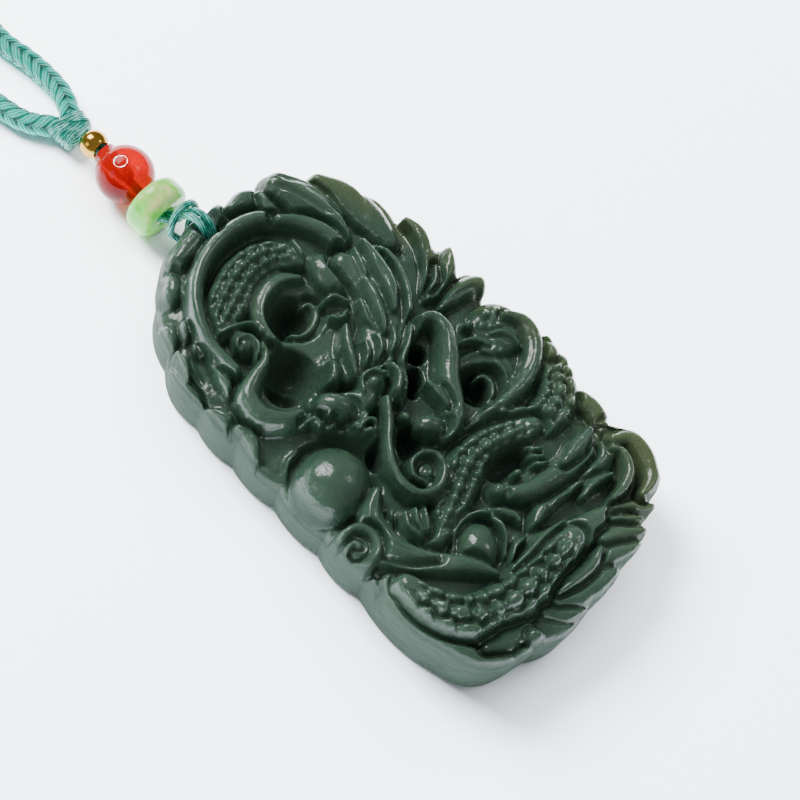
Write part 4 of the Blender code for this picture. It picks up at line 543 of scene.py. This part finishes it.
class Nodes:
    """A material's node tree, with short ways to add and join nodes."""

    def __init__(self, name, **plain):
        self.material = bpy.data.materials.new(name)
        self.material.use_nodes = True
        self.tree = self.material.node_tree
        self.shader = self.tree.nodes["Principled BSDF"]
        self.use(**plain)

    def use(self, **sockets):
        """Sets or joins the shader's sockets."""
        for key, value in sockets.items():
            self.put(self.shader.inputs[key.replace("_", " ")], value)
        return self.material

    def put(self, socket, value):
        if isinstance(value, bpy.types.NodeSocket):
            self.tree.links.new(value, socket)
        else:
            socket.default_value = value

    def node(self, kind, links=(), **settings):
        n = self.tree.nodes.new("ShaderNode" + kind)
        for key, value in settings.items():
            setattr(n, key, value)
        for slot, value in dict(links).items():
            self.put(n.inputs[slot], value)
        return n

    def math(self, operation, a, b=0.0):
        return self.node("Math", {0: a, 1: b}, operation=operation).outputs[0]

    def plus(self, a, b):
        return self.math("ADD", a, b)

    def less(self, a, b):
        return self.math("SUBTRACT", a, b)

    def times(self, a, b):
        return self.math("MULTIPLY", a, b)

    def larger(self, a, b):
        return self.math("MAXIMUM", a, b)

    def parts(self, kind, output):
        """The three parts of a vector that a node gives."""
        return list(self.node("SeparateXYZ", {0: self.node(kind).outputs[output]}).outputs)

    def attribute(self, name):
        return self.node("Attribute", attribute_name=name).outputs["Fac"]

    def noise(self, scale, detail=3.0, rough=0.5):
        """Noise in the piece's own space, with its scale in features per millimetre."""
        place = self.node("TexCoord").outputs["Object"]
        settings = {"Vector": place, "Scale": scale / MM, "Detail": detail, "Roughness": rough}
        return self.node("TexNoise", settings).outputs["Fac"]

    def ramp(self, value, *stops):
        """A colour ramp through (place, colour) stops."""
        n = self.node("ValToRGB", {0: value})
        elements = n.color_ramp.elements
        while len(elements) < len(stops):
            elements.new(0.5)
        for e, (place, colour) in zip(elements, stops):
            e.position = place
            e.color = (*colour, 1)
        return n.outputs[0]

    def scale(self, value, low, high, start=0.0, end=1.0):
        """A value spread over a new range."""
        return self.node("MapRange", {0: value, 1: start, 2: end, 3: low, 4: high}).outputs[0]

    def mix(self, share, below, colour):
        """A colour laid over what is below it."""
        n = self.node("Mix", data_type="RGBA")
        for slot, value in ((0, share), (6, below), (7, (*colour, 1))):
            self.put(n.inputs[slot], value)
        return n.outputs[2]

    def bump(self, height, distance, strength, *below):
        n = self.node("Bump", {"Height": height, "Distance": distance, "Strength": strength})
        for normal in below:
            self.put(n.inputs["Normal"], normal)
        return n.outputs[0]


def jade_finish():
    """Dark green nephrite: cloudy and a little see-through, with painted shade and less shine on its wall
    and in its grooves.
    """
    m = Nodes("nephrite", Subsurface_Weight=0.45, Subsurface_Scale=0.0016,
              Subsurface_Radius=(0.7, 1.0, 0.75), IOR=1.6)
    cloud = m.noise(0.11, 4, 0.6)
    green = m.ramp(cloud, (0.30, (0.030, 0.067, 0.044)), (0.55, (0.048, 0.099, 0.064)),
                   (0.75, (0.074, 0.131, 0.086)))
    green = m.mix(m.scale(m.noise(1.3, 3, 0.6), 0.0, 0.25, 0.45, 0.8), green, (0.07, 0.125, 0.08))
    # The tips at the tail and along the right are olive.
    x, y, z = m.parts("TexCoord", "Object")
    tail = m.plus(m.times(x, 0.055 / MM), m.times(y, -0.012 / MM))
    tips = m.scale(m.plus(tail, m.times(cloud, 0.5)), 0.0, 0.6, 1.05, 1.35)
    near_edge = m.attribute("near_edge")
    tips = m.larger(tips, m.times(near_edge, m.scale(x, 0.0, 0.5, 0.005, 0.012)))
    green = m.mix(tips, green, (0.13, 0.16, 0.055))
    # Painted shade: the colour is darkened in the hollows, most at their bottoms.
    hollow = m.attribute("hollow")
    green = m.mix(hollow, green, (0.032, 0.060, 0.043))
    # The wall gets painted shade, darker than the front, and is less polished.
    upright = m.scale(m.parts("NewGeometry", "Normal")[2], 1.0, 0.0, 0.2, 0.75)
    low = m.scale(z, 1.0, 0.0, 0.0055, 0.0085)
    wall = m.times(upright, m.larger(low, near_edge))
    dull_and_shaded = m.times(wall, 0.6)
    # Painted shade on the wall's colour; the same mask also roughens it.
    green = m.mix(dull_and_shaded, green, (0.028, 0.043, 0.034))
    rough = m.larger(m.scale(m.noise(0.8, 3, 0.6), 0.11, 0.22, 0.3, 0.7), dull_and_shaded)
    shine = m.scale(m.larger(wall, hollow), 0.42, 0.06)
    worked = m.bump(m.noise(0.75, 2, 0.5), 0.00022, 0.6)
    fine = m.bump(m.noise(2.4, 3, 0.55), 0.00007, 0.6, worked)
    return m.use(Base_Color=green, Roughness=rough, Specular_IOR_Level=shine, Normal=fine)


def braid_finish():
    """Silky thread: each strand is a bundle of fine threads, with painted shade where it dives under
    another and painted highlights on its top and threads.
    """
    m = Nodes("braided_cord", Specular_IOR_Level=0.28, Roughness=0.42)
    turn, run, _ = m.parts("UVMap", 0)
    across = m.times(turn, float(STRANDS))
    wave = m.math("SINE", m.times(turn, math.pi * STRANDS))
    offs, heights = [], []
    for value, sign in ((m.less(across, run), 1.0), (m.plus(across, run), -1.0)):
        off = m.less(value, m.math("ROUND", value))
        offs.append(off)
        heights.append(m.plus(m.times(m.times(off, off), -4.0), m.times(wave, sign * WEAVE)))
    pick = m.math("GREATER_THAN", *heights)
    off = m.plus(m.times(pick, offs[0]), m.times(m.less(1.0, pick), offs[1]))
    wander = m.times(m.noise(1.2, 2, 0.5), 1.5)
    thread = m.math("SINE", m.plus(m.times(off, 2 * math.pi * 3.5), wander))
    # Painted shade and highlight: darker where a strand dives, paler on its top.
    shade_and_sheen = m.scale(m.larger(*heights), 0.0, 1.0, -0.3, 0.75)
    colour = m.ramp(shade_and_sheen, (0.0, (0.0001, 0.12, 0.09)), (0.35, (0.0005, 0.52, 0.40)),
                    (1.0, (0.01, 0.90, 0.70)))
    # Painted shade in the grooves between the threads.
    colour = m.mix(m.scale(thread, 0.35, 0.0, -1.0, 0.2), colour, (0.0005, 0.16, 0.12))
    # Painted glints: pale patches on the threads' crests.
    patch = m.scale(m.noise(1.6, 3, 0.6), 0.0, 1.0, 0.40, 0.58)
    glint = m.times(m.times(m.scale(thread, 0.0, 1.0), patch), 0.6)
    colour = m.mix(glint, colour, (0.50, 0.97, 0.86))
    return m.use(Base_Color=colour, Normal=m.bump(thread, 0.00005, 0.9))


def satin_finish(name, dark, light):
    """Satin cord: fine threads that run along it with a slight twist, with patches of painted sheen."""
    m = Nodes(name, Roughness=0.30, Specular_IOR_Level=0.5)
    turn, run, _ = m.parts("UVMap", 0)
    thread = m.math("SINE", m.plus(m.times(turn, 2 * math.pi * 9), m.times(run, 2.6)))
    # Painted sheen: the threads' stripes and noise patches run up to a pale mint highlight at the ramp's
    # top.
    shade_and_sheen = m.plus(m.times(thread, 0.16), m.noise(1.1, 3, 0.6))
    colour = m.ramp(shade_and_sheen, (0.30, dark), (0.55, light), (0.72, (0.42, 0.92, 0.80)))
    return m.use(Base_Color=colour, Normal=m.bump(thread, 0.00006, 0.8))


def apple_finish():
    """Cloudy apple-green stone with paler patches."""
    m = Nodes("apple_green_stone", Subsurface_Weight=0.7, Subsurface_Scale=0.0014,
              Subsurface_Radius=(0.9, 1.0, 0.7), Roughness=0.10, IOR=1.55)
    return m.use(Base_Color=m.ramp(m.noise(0.35, 3, 0.55), (0.36, (0.10, 0.68, 0.06)),
                                   (0.5, (0.30, 0.92, 0.11)), (0.66, (0.80, 0.99, 0.36))))


def red_finish():
    """Clear red stone, with faint clouds."""
    m = Nodes("red_agate", Transmission_Weight=0.7, IOR=1.30, Roughness=0.02, Specular_IOR_Level=0.28)
    cloud = m.noise(0.3, 2, 0.5)
    return m.use(Base_Color=m.ramp(cloud, (0.35, (0.26, 0.0006, 0.0001)), (0.7, (0.36, 0.0014, 0.0002))))


def gold_finish():
    """Polished gold with soft wear."""
    m = Nodes("gold", Metallic=1.0)
    rough = m.scale(m.noise(0.9, 2, 0.5), 0.07, 0.16, 0.3, 0.7)
    colour = m.ramp(m.noise(0.6, 2, 0.5), (0.3, (0.50, 0.26, 0.035)), (0.7, (0.62, 0.37, 0.07)))
    return m.use(Base_Color=colour, Roughness=rough)


# Meshes

def piece(name, vertices, faces, finish, uvs=None):
    """A smooth-shaded mesh piece that rides on the pendant's one body."""
    mesh = bpy.data.meshes.new(name)
    mesh.from_pydata([tuple(v) for v in vertices], [], faces)
    if uvs is not None:
        layer = mesh.uv_layers.new(name="thread")
        layer.data.foreach_set("uv", np.asarray(uvs, float).ravel())
    mesh.materials.append(finish)
    mesh.polygons.foreach_set("use_smooth", [True] * len(mesh.polygons))
    mesh.update()
    o = bpy.data.objects.new(name, mesh)
    bpy.context.scene.collection.objects.link(o)
    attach(o, "root")
    return o


def frames(path, closed=False):
    """A steady pair of side directions at each point of a line."""
    p = np.asarray(path, float)
    ahead = np.roll(p, -1, axis=0) - np.roll(p, 1, axis=0)
    if not closed:
        ahead[0], ahead[-1] = p[1] - p[0], p[-1] - p[-2]
    ahead /= np.linalg.norm(ahead, axis=1)[:, None]
    side = np.cross(ahead[0], (0, 0, 1) if abs(ahead[0][2]) < 0.9 else (1, 0, 0))
    sides = []
    for t in ahead:
        side = side - t * np.dot(side, t)
        side = side / np.linalg.norm(side)
        sides.append(side)
    sides = np.array(sides)
    return sides, np.cross(sides, ahead)


def swept(path, around, shape, closed=False, pitch=1.0):
    """A tube along a line: vertices, faces and UVs. shape gives its reach aside and up at (turn, run)."""
    p = np.asarray(path, float)
    n = len(p)
    side, up = frames(p, closed)
    if closed:
        # The frame comes back turned by some angle, which is shared out along the loop.
        again = frames(np.vstack([p, p[:2]]))[0][n]
        slip = math.atan2(np.dot(again, up[0]), np.dot(again, side[0]))
        back = (-slip * np.arange(n) / n)[:, None]
        side, up = side * np.cos(back) + up * np.sin(back), up * np.cos(back) - side * np.sin(back)
    run = np.concatenate([[0], np.cumsum(np.linalg.norm(np.diff(p, axis=0), axis=1))])
    out, rise = shape(*np.meshgrid(np.linspace(0, 1, around, endpoint=False), run))
    v = p[:, None, :] + out[..., None] * side[:, None, :] + rise[..., None] * up[:, None, :]
    whole = run[-1] + np.linalg.norm(p[0] - p[-1])
    faces, uvs = [], []
    for i in range(n if closed else n - 1):
        j = (i + 1) % n
        v0, v1 = run[i] / pitch, (run[j] if j else whole) / pitch
        for k in range(around):
            l = (k + 1) % around
            faces.append((i * around + k, i * around + l, j * around + l, j * around + k))
            u0, u1 = k / around, (k + 1) / around
            uvs += [(u0, v0), (u1, v0), (u1, v1), (u0, v1)]
    if not closed:
        faces += [tuple(range(around))[::-1], tuple(range((n - 1) * around, n * around))]
        uvs += [(0.5, 0.0)] * around * 2
    return v.reshape(-1, 3), faces, uvs


def round_shape(radius):
    """A plain round section."""
    def shape(turn, run):
        a = 2 * math.pi * turn
        return radius * np.cos(a), radius * np.sin(a)
    return shape


def braid_shape(turn, run):
    """The braid's surface: strands wind both ways, each over two and under two."""
    across, along = STRANDS * turn, run / BRAID_PITCH
    wave = np.sin(math.pi * STRANDS * turn)
    highs = []
    for value, sign in ((across - along, 1), (across + along, -1)):
        off = value - np.round(value)
        highs.append(-4 * off * off + WEAVE * sign * wave)
    high = np.clip(np.maximum(*highs), -0.6, WEAVE)
    radius = CORD_DIAMETER / 2 - BRAID_INSET + STRAND_HEIGHT * high
    angle = 2 * math.pi * turn
    return radius * np.cos(angle), radius * np.sin(angle)


def revolved(profile, segments):
    """A ring's vertices and faces, from a profile of (radius, height) that runs down its outer side."""
    n = len(profile)
    angles = np.linspace(0, 2 * math.pi, segments, endpoint=False)
    v = [(r * math.cos(a), r * math.sin(a), h) for a in angles for r, h in profile]
    faces = []
    for i in range(segments):
        j = (i + 1) % segments
        faces += [(i * n + k, i * n + (k + 1) % n, j * n + (k + 1) % n, j * n + k) for k in range(n)]
    return np.array(v), faces


def arc(radius, start, end, count):
    """Points (radius, height) down a ball's side between two angles."""
    return [(radius * math.cos(a), radius * math.sin(a)) for a in np.linspace(start, end, count)]


# The pieces

def top_edge():
    """Where the plaque's edge lies beside the hole, along Y."""
    way = np.linspace(0.2, math.pi - 0.2, 800)
    far = outline(way) * UNIT
    return float(np.interp(-HOLE_X, -far * np.cos(way), far * np.sin(way)))


def string_of_beads():
    """Where each bead stands along Y, with its half length, and where the wrap begins."""
    bore = BORE / 2
    red_half = math.sqrt((RED_DIAMETER / 2) ** 2 - bore ** 2)
    gold_half = math.sqrt((GOLD_DIAMETER / 2) ** 2 - bore ** 2)
    start = top_edge() + BEAD_GAP
    disc = start + DISC_THICKNESS / 2
    red = disc + DISC_THICKNESS / 2 + TOUCH + red_half
    gold = red + red_half + RED_NECK + TOUCH + gold_half
    return {"start": start, "disc": disc, "red": red, "red_half": red_half, "gold": gold,
            "gold_half": gold_half, "end": gold + gold_half + TOUCH}


def coil_turns():
    """The turns in the coil's two layers, and its outermost and innermost radius."""
    legs = sum(math.dist(a, b) for leg in (UPPER_LEG, LOWER_LEG) for a, b in zip(leg, leg[1:])) * MM
    turns = LAST_TURN + round((CORD_LENGTH - legs) / (math.pi * COIL_ACROSS) - LAST_TURN)
    reach = turns / 2 * LAYER * CORD_DIAMETER / 2
    return turns, COIL_ACROSS / 2 + reach, COIL_ACROSS / 2 - reach


def neck_route(start):
    """The cord's centreline: up one leg, round the coil's two layers, and back down the other leg."""
    cx, cy = COIL_MIDDLE
    d = CORD_DIAMETER
    turns, out, inside = coil_turns()
    # The upper leg joins the coil at its right, and the lower one joins the upper layer at its near end.
    upper = [(x * MM, y * MM, d / 2) for x, y in LEG_ENDS[:1] + UPPER_LEG]
    upper += [(cx + out - 0.4 * MM, cy - 4 * MM, d / 2)]
    lower = [(x * MM, y * MM, d / 2 + rise * MM) for x, y, rise in LEG_ENDS[1:] + LOWER_LEG]
    lower += [(-13.4 * MM, cy - out + 0.2 * MM, (0.5 + LAYER) * d + TIE_DIAMETER)]
    coil = []
    steps = round(turns * 20)
    for i in range(steps + 1):
        s = i / steps
        a = 2 * math.pi * turns * s
        r = out - (out - inside) * (2 * s if s < 0.5 else 2 - 2 * s)
        # Half-way, within about a third of a turn, it climbs to the upper layer.
        climb = float(np.clip((s - 0.5) * turns / 0.35 + 0.5, 0, 1))
        z = d / 2 + LAYER * d * climb * climb * (3 - 2 * climb)
        # Each turn lifts a little where it passes over the tie.
        over = math.exp(-((math.degrees(a) + 90) % 360 - 180) ** 2 / (2 * 13.0 ** 2))
        coil.append((cx + r * math.cos(a), cy + r * math.sin(a), z + over * (TIE_DIAMETER + TOUCH)))
    line = smooth_line(upper + coil + lower[::-1], 12)
    # The legs move with the wrap, less and less over the centimetre before the coil.
    near_wrap = np.clip((0.06 - line[:, 1]) / 0.01, 0, 1)
    line[:, 1] += (start - UPPER_LEG[0][1] * MM) * near_wrap
    return line


def tie_loop(path):
    """A rounded oblong round all the turns of the coil, on the side away from the pendant."""
    d, cx, cy = CORD_DIAMETER, *COIL_MIDDLE
    turns = [y - cy for x, y, z in path if abs(x - cx) < 0.6 * d and y > cy]
    inside, outside = min(turns) - d / 2, max(turns) + d / 2
    low, high = TIE_DIAMETER + TOUCH, TIE_DIAMETER + TOUCH + 2 * LAYER * d
    gap, corner = TIE_DIAMETER / 2 + TOUCH, 1.6 * TIE_DIAMETER
    w, h = (outside - inside) / 2 + gap, (high - low) / 2 + gap
    loop = []
    for k, (across, up) in enumerate(((1, 1), (-1, 1), (-1, -1), (1, -1))):
        ox, oz = (w - corner) * across, (h - corner) * up
        for deg in range(0, 91, 10):
            a = math.radians(90 * k + deg)
            loop.append((cx, cy + (inside + outside) / 2 + ox + corner * math.cos(a),
                         (low + high) / 2 + oz + corner * math.sin(a)))
    return spaced(loop + loop[:1], TIE_STEP)[:-1]


def neck_cord(start):
    path = neck_route(start)
    v, f, uv = swept(spaced(path, BRAID_STEP), BRAID_SIDES, braid_shape, pitch=BRAID_PITCH)
    cord = piece("neck_cord", v, f, braid_finish(), uv)
    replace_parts(cord, "cord_leg_upper", "cord_leg_lower", "cord_coil")
    section = round_shape(TIE_DIAMETER / 2)
    v, f, uv = swept(tie_loop(path), TIE_SIDES, section, closed=True, pitch=TIE_DIAMETER)
    thread = satin_finish("tie_thread", (0.001, 0.14, 0.10), (0.01, 0.46, 0.34))
    tie = piece("tie", v, f, thread, uv)
    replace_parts(tie, "coil_tie")


def wrap(start, finish):
    """The whipping round both legs: turns of satin cord, slanted both ways so that they cross in a V."""
    vertices, faces, uvs = [], [], []
    edge = WHIPPING_RADIUS + 0.0001
    for place, slant in WHIPPING:
        # It narrows towards the gold bead.
        share = 0.86 + 0.28 * place
        w, h = share * (WRAP_WIDTH / 2 - edge), share * (WRAP_HEIGHT / 2 - edge)
        loop = []
        for a in np.linspace(0, 2 * math.pi, 48, endpoint=False):
            wide, tall = (math.copysign(abs(v) ** 0.75, v) for v in (math.cos(a), math.sin(a)))
            along = start + WRAP_LENGTH / 2 + place * WRAP_LENGTH + slant * w * wide
            loop.append((BEAD_X + w * wide, along, WRAP_HEIGHT / 2 + h * tall))
        v, f, uv = swept(loop, 10, round_shape(WHIPPING_RADIUS), closed=True, pitch=SATIN_PITCH)
        faces += [tuple(i + len(vertices) for i in face) for face in f]
        vertices += [tuple(q) for q in v]
        uvs += uv
    o = piece("wrap", vertices, faces, finish, uvs)
    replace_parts(o, "cord_wrap")


def bail(hole_y, finish):
    """The thin cord: two strands through the beads, over the rim, down the hole and round themselves."""
    aside = (BAIL_DIAMETER + STRAND_GAP) / 2
    rim, thick, d = top_edge(), PLAQUE_THICKNESS, BAIL_DIAMETER
    at, axis = string_of_beads(), DISC_DIAMETER / 2
    x, slope, half = BEAD_X - aside, GOLD_SLOPE, at["gold_half"]
    gold = axis - GOLD_DROP
    side = [(x, at["end"], gold - slope * (half + TOUCH))]
    side += [(x, at["gold"] + k * half, gold - k * slope * half) for k in (1, 0, -1)]
    side += [(x, at["red"] + k * at["red_half"], axis) for k in (1.1, 0.6, 0, -0.6, -1)]
    side += [(x, at["disc"] + k * DISC_THICKNESS / 2, axis) for k in (1, 0, -1)]
    # From here on each place is given in cord diameters, and each height as a share of the plaque's.
    x = HOLE_X - aside
    side += [(x, rim + k * d, h * thick) for k, h in ((2.1, 0.39), (1.25, 0.54), (0, 0.66), (-1.4, 0.70))]
    side += [(x, hole_y + k * d, h * thick) for k, h in ((0.6, 0.625), (0, 0.49), (0, 0.30), (0.25, 0.15))]
    side += [(x - 0.1 * d, hole_y + 1.4 * d, d / 2 + TOUCH), (x - 0.1 * d, rim - 0.5 * d, d / 2 + TOUCH)]
    side += [(HOLE_X + i * d, rim + k * d, h * thick)
             for i, k, h in ((-0.9, 1.0, 0.125), (-1.75, 1.75, 0.23))]
    mirrored = [(2 * (BEAD_X if y > at["start"] - d else HOLE_X) - x, y, z) for x, y, z in reversed(side)]
    bight = [(HOLE_X + i * d, rim + k * d, h * thick)
             for i, k, h in ((-2.5, 1.3, 0.36), (-2.3, 1.4, 0.52), (-1.0, 1.8, 0.615),
                             (1.0, 1.8, 0.61), (1.9, 1.5, 0.5), (2.0, 1.4, 0.36))]
    route = spaced(smooth_line(side + bight + mirrored, 12), BAIL_STEP)
    v, f, uv = swept(route, BAIL_SIDES, round_shape(BAIL_DIAMETER / 2), pitch=SATIN_PITCH)
    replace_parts(piece("bail", v, f, finish, uv), "bail_cord")


def bead(name, profile, segments, place, axis, finish):
    """A bead made round Z, turned to lie round the axis at the place."""
    v, f = revolved(profile, segments)
    turn = np.array(Vector(axis).to_track_quat("Z", "Y").to_matrix())
    return piece(name, v @ turn.T + np.array(place), f, finish)


def beads():
    at, bore = string_of_beads(), BORE / 2
    half, outer = DISC_THICKNESS / 2, DISC_DIAMETER / 2
    corner = 0.0011
    # The disc's bore opens with a small bevel, and its edge is well rounded.
    disc = [(bore + 0.0003, half - 0.0001), (bore + 0.0008, half)]
    for a in np.radians(np.arange(85, -86, -10)):
        c, s = math.cos(a), math.sin(a)
        disc.append((outer - corner + corner * c, (half - corner) * s / max(abs(s), 0.4) + corner * s))
    disc += [(bore + 0.0008, -half), (bore + 0.0003, 0.0001 - half)]
    disc += [(bore, 0.0004 - half), (bore, half - 0.0004)]
    place = (BEAD_X, at["disc"], outer)
    o = bead("disc_bead", disc, 64, place, (0, 1, 0), apple_finish())
    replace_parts(o, "green_disc_bead")
    radius, red_half = RED_DIAMETER / 2, at["red_half"]
    neck, tip = 1.35 * bore, red_half + RED_NECK
    top, low = math.asin(math.sqrt(radius ** 2 - neck ** 2) / radius), -math.asin(red_half / radius)
    ball = [(bore, tip), (neck - 0.0001, tip), (neck, tip - 0.0001)] + arc(radius, top, low, 40)
    place = (BEAD_X, at["red"], outer)
    o = bead("red_bead", ball, 72, place, (0, 1, 0), red_finish())
    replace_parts(o, "red_round_bead")
    radius = GOLD_DIAMETER / 2
    tip = math.asin(at["gold_half"] / radius)
    place = (BEAD_X, at["gold"], outer - GOLD_DROP)
    o = bead("gold_bead", arc(radius, tip, -tip, 28), 56, place, (0, 1, -GOLD_SLOPE), gold_finish())
    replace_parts(o, "gold_round_bead")


def hollowness(px, py, pz, x, y, z):
    """From 0 on the crests to 1 at the bottom of the deepest hollows, for points on the carving."""
    # The mean height in cells of one unit, smoothed over their neighbours
    middle = 40
    cells = tuple((v + middle).astype(int) for v in (x, y))
    sums, counts = np.zeros((2, 2 * middle, 2 * middle))
    np.add.at(sums, cells, z)
    np.add.at(counts, cells, 1)
    for axis in (0, 1) * 3:
        sums, counts = ((np.roll(v, 1, axis) + 2 * v + np.roll(v, -1, axis)) / 4 for v in (sums, counts))
    level = sums / np.maximum(counts, 1e-6)
    fx, fy = px + middle - 0.5, py + middle - 0.5
    i, j = fx.astype(int), fy.astype(int)
    u, v = fx - i, fy - j
    around = ((level[i, j] * (1 - u) + level[i + 1, j] * u) * (1 - v)
              + (level[i, j + 1] * (1 - u) + level[i + 1, j + 1] * u) * v)
    below = np.clip((around - pz - 0.35) / 2.5 + np.clip((6.6 - pz) / 5, 0, 1), 0, 1)
    # Not on the back, nor near the rim
    front, within = np.clip((pz - 2.0) / 1.5, 0, 1), np.hypot(px, py * 0.58) < 15.6
    return below * front * within


def blank():
    """The plaque before it is drilled, as points and faces, with the carved heights of its grid."""
    nx, ny = GRID
    a, b = np.meshgrid(np.linspace(-1, 1, nx + 1), np.linspace(-1, 1, ny + 1))
    x, y = spread(a * np.sqrt(1 - b * b / 2), b * np.sqrt(1 - a * a / 2))
    z = carve(x.ravel(), y.ravel()).reshape(x.shape)
    # The carving is softened once, as by polishing.
    z[1:-1, 1:-1] = sum(z[i:i + ny - 1, j:j + nx - 1] for i in range(3) for j in range(3)) / 9
    points = np.stack([x * UNIT, y * UNIT, z * RISE], axis=-1).reshape(-1, 3)
    index = np.arange(x.size).reshape(x.shape)
    corners = [index[:-1, :-1], index[:-1, 1:], index[1:, 1:], index[1:, :-1]]
    faces = np.stack(corners, axis=-1).reshape(-1, 4).tolist()
    rim = np.concatenate([index[0, :-1], index[:-1, -1], index[-1, :0:-1], index[:0:-1, 0]])
    edge = points[rim]
    rings = [rim]
    # The wall goes down in steps and rounds under to the flat back.
    steps = [(down, 0.0) for down in (0.12, 0.3, 0.5, 0.7, 0.86)]
    steps += [(1.0, under) for under in (0.0, 0.25, 0.5, 0.75, 1.0)]
    out = np.hypot(edge[:, 0], edge[:, 1])
    for down, under in steps:
        turn = under * math.pi / 2
        level = edge[:, 2] + (BACK_EDGE - edge[:, 2]) * down - BACK_EDGE * math.sin(turn)
        shrink = 1 - 0.7 * BACK_EDGE * (1 - math.cos(turn)) / out
        rings.append(np.arange(len(points), len(points) + len(rim)))
        points = np.vstack([points, np.stack([edge[:, 0] * shrink, edge[:, 1] * shrink, level], axis=-1)])
    for top, low in zip(rings, rings[1:]):
        faces += np.stack([top, low, np.roll(low, -1), np.roll(top, -1)], axis=-1).tolist()
    faces.append(rings[-1][::-1].tolist())
    return points, faces, (x, y, z)


def plaque(finish):
    """The jade's fine carving on the same form as the solid, drilled for its cord."""
    points, faces, carving = blank()
    jade = piece("jade", points, faces, finish)
    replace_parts(jade, "jade_plaque")

    hole_y = top_edge() - HOLE_TO_EDGE - HOLE_DIAMETER / 2
    wide = HOLE_DIAMETER + 2 * TOUCH
    start, end = hole_y - wide / 2, top_edge() + 3 * HOLE_TO_EDGE
    bpy.ops.mesh.primitive_cylinder_add(vertices=40, radius=HOLE_DIAMETER / 2, depth=3 * PLAQUE_THICKNESS,
                                        location=(HOLE_X, hole_y, PLAQUE_THICKNESS / 2))
    hole = bpy.context.object
    bpy.ops.mesh.primitive_cube_add(size=1, location=(HOLE_X, (start + end) / 2, 0))
    channel = bpy.context.object
    channel.scale = (wide, end - start, 2 * CHANNEL_DEPTH)
    for tool in (hole, channel):
        m = jade.modifiers.new("drill", "BOOLEAN")
        m.operation, m.solver, m.object = "DIFFERENCE", "EXACT", tool
    bpy.context.view_layer.update()
    done = bpy.data.meshes.new_from_object(jade.evaluated_get(bpy.context.evaluated_depsgraph_get()))
    jade.modifiers.clear()
    jade.data = done
    for tool in (hole, channel):
        bpy.data.objects.remove(tool, do_unlink=True)

    # How deep each point lies below what is round it: painted shade darkens the grooves, which also shine
    # less than the polished crests.
    co = np.empty(3 * len(done.vertices))
    done.vertices.foreach_get("co", co)
    px, py, pz = co.reshape(-1, 3).T
    deep = hollowness(px / UNIT, py / UNIT, pz / RISE, *carving)
    out = np.hypot(px, py) / UNIT / outline(np.arctan2(py, px))
    near_edge = np.clip((out - 0.80) / 0.16, 0, 1)
    for name, values in (("hollow", deep), ("near_edge", near_edge)):
        done.attributes.new(name, "FLOAT", "POINT").data.foreach_set("value", values)
    return hole_y


def area(name, place, width, height, power, aim=(0, 0, 0), only=None):
    """An area lamp, a disc where it has no height. It may light one object only, through a collection."""
    light = bpy.data.lights.new(name, "AREA")
    light.size, light.energy = width, power
    light.shape = "RECTANGLE" if height else "DISK"
    if height:
        light.size_y = height
    o = bpy.data.objects.new(name, light)
    o.location = place
    o.rotation_euler = (Vector(aim) - Vector(place)).to_track_quat("-Z", "Y").to_euler()
    bpy.context.scene.collection.objects.link(o)
    if only:
        o.light_linking.receiver_collection = only


def only_on(name, o):
    """A collection for lamps that light one object only."""
    group = bpy.data.collections.new(name)
    group.objects.link(o)
    return group


def stage():
    """A plain pale floor and soft studio light."""
    mesh = bpy.data.meshes.new("floor")
    corners = [(x * FLOOR_HALF, y * FLOOR_HALF, 0) for x, y in ((-1, -1), (1, -1), (1, 1), (-1, 1))]
    mesh.from_pydata(corners, [], [(0, 1, 2, 3)])
    m = Nodes("floor", Roughness=0.6)
    pale = m.ramp(m.noise(0.02, 2, 0.5), (0.0, (0.82, 0.87, 0.93)), (1.0, (0.85, 0.90, 0.96)))
    mesh.materials.append(m.use(Base_Color=pale))
    floor = bpy.data.objects.new("floor", mesh)
    bpy.context.scene.collection.objects.link(floor)
    world = bpy.data.worlds.new("studio")
    bpy.context.scene.world = world
    world.use_nodes = True
    sky = world.node_tree.nodes["Background"]
    sky.inputs[0].default_value = (0.96, 0.98, 1.0, 1)
    sky.inputs[1].default_value = SKY

    only_floor = only_on("lit_by_the_floor_lamp", floor)
    for lamp in LIGHTS:
        area(*lamp)
    for lamp in FLOOR_LIGHTS:
        area(*lamp, only=only_floor)
    only_bead = only_on("lit_by_the_ring", bpy.data.objects["red_bead"])
    centre = Vector(RING_PLACE)
    turn = (centre - Vector(RING_FACES)).normalized().to_track_quat("Z", "Y")
    for k in range(RING_COUNT):
        a = 2 * math.pi * k / RING_COUNT
        place = centre + turn @ Vector((RING_RADIUS * math.cos(a), RING_RADIUS * math.sin(a), 0))
        area(f"ring_{k}", place, RING_LAMP, 0, RING_POWER / RING_COUNT, RING_AIM, only_bead)


camera()
start = string_of_beads()["end"] + TOUCH
neck_cord(start + WRAP_LENGTH + TOUCH)
satin = satin_finish("satin_cord", (0.0005, 0.14, 0.105), (0.006, 0.54, 0.41))
wrap(start, satin)
beads()
bail(plaque(jade_finish()), satin)
stage()
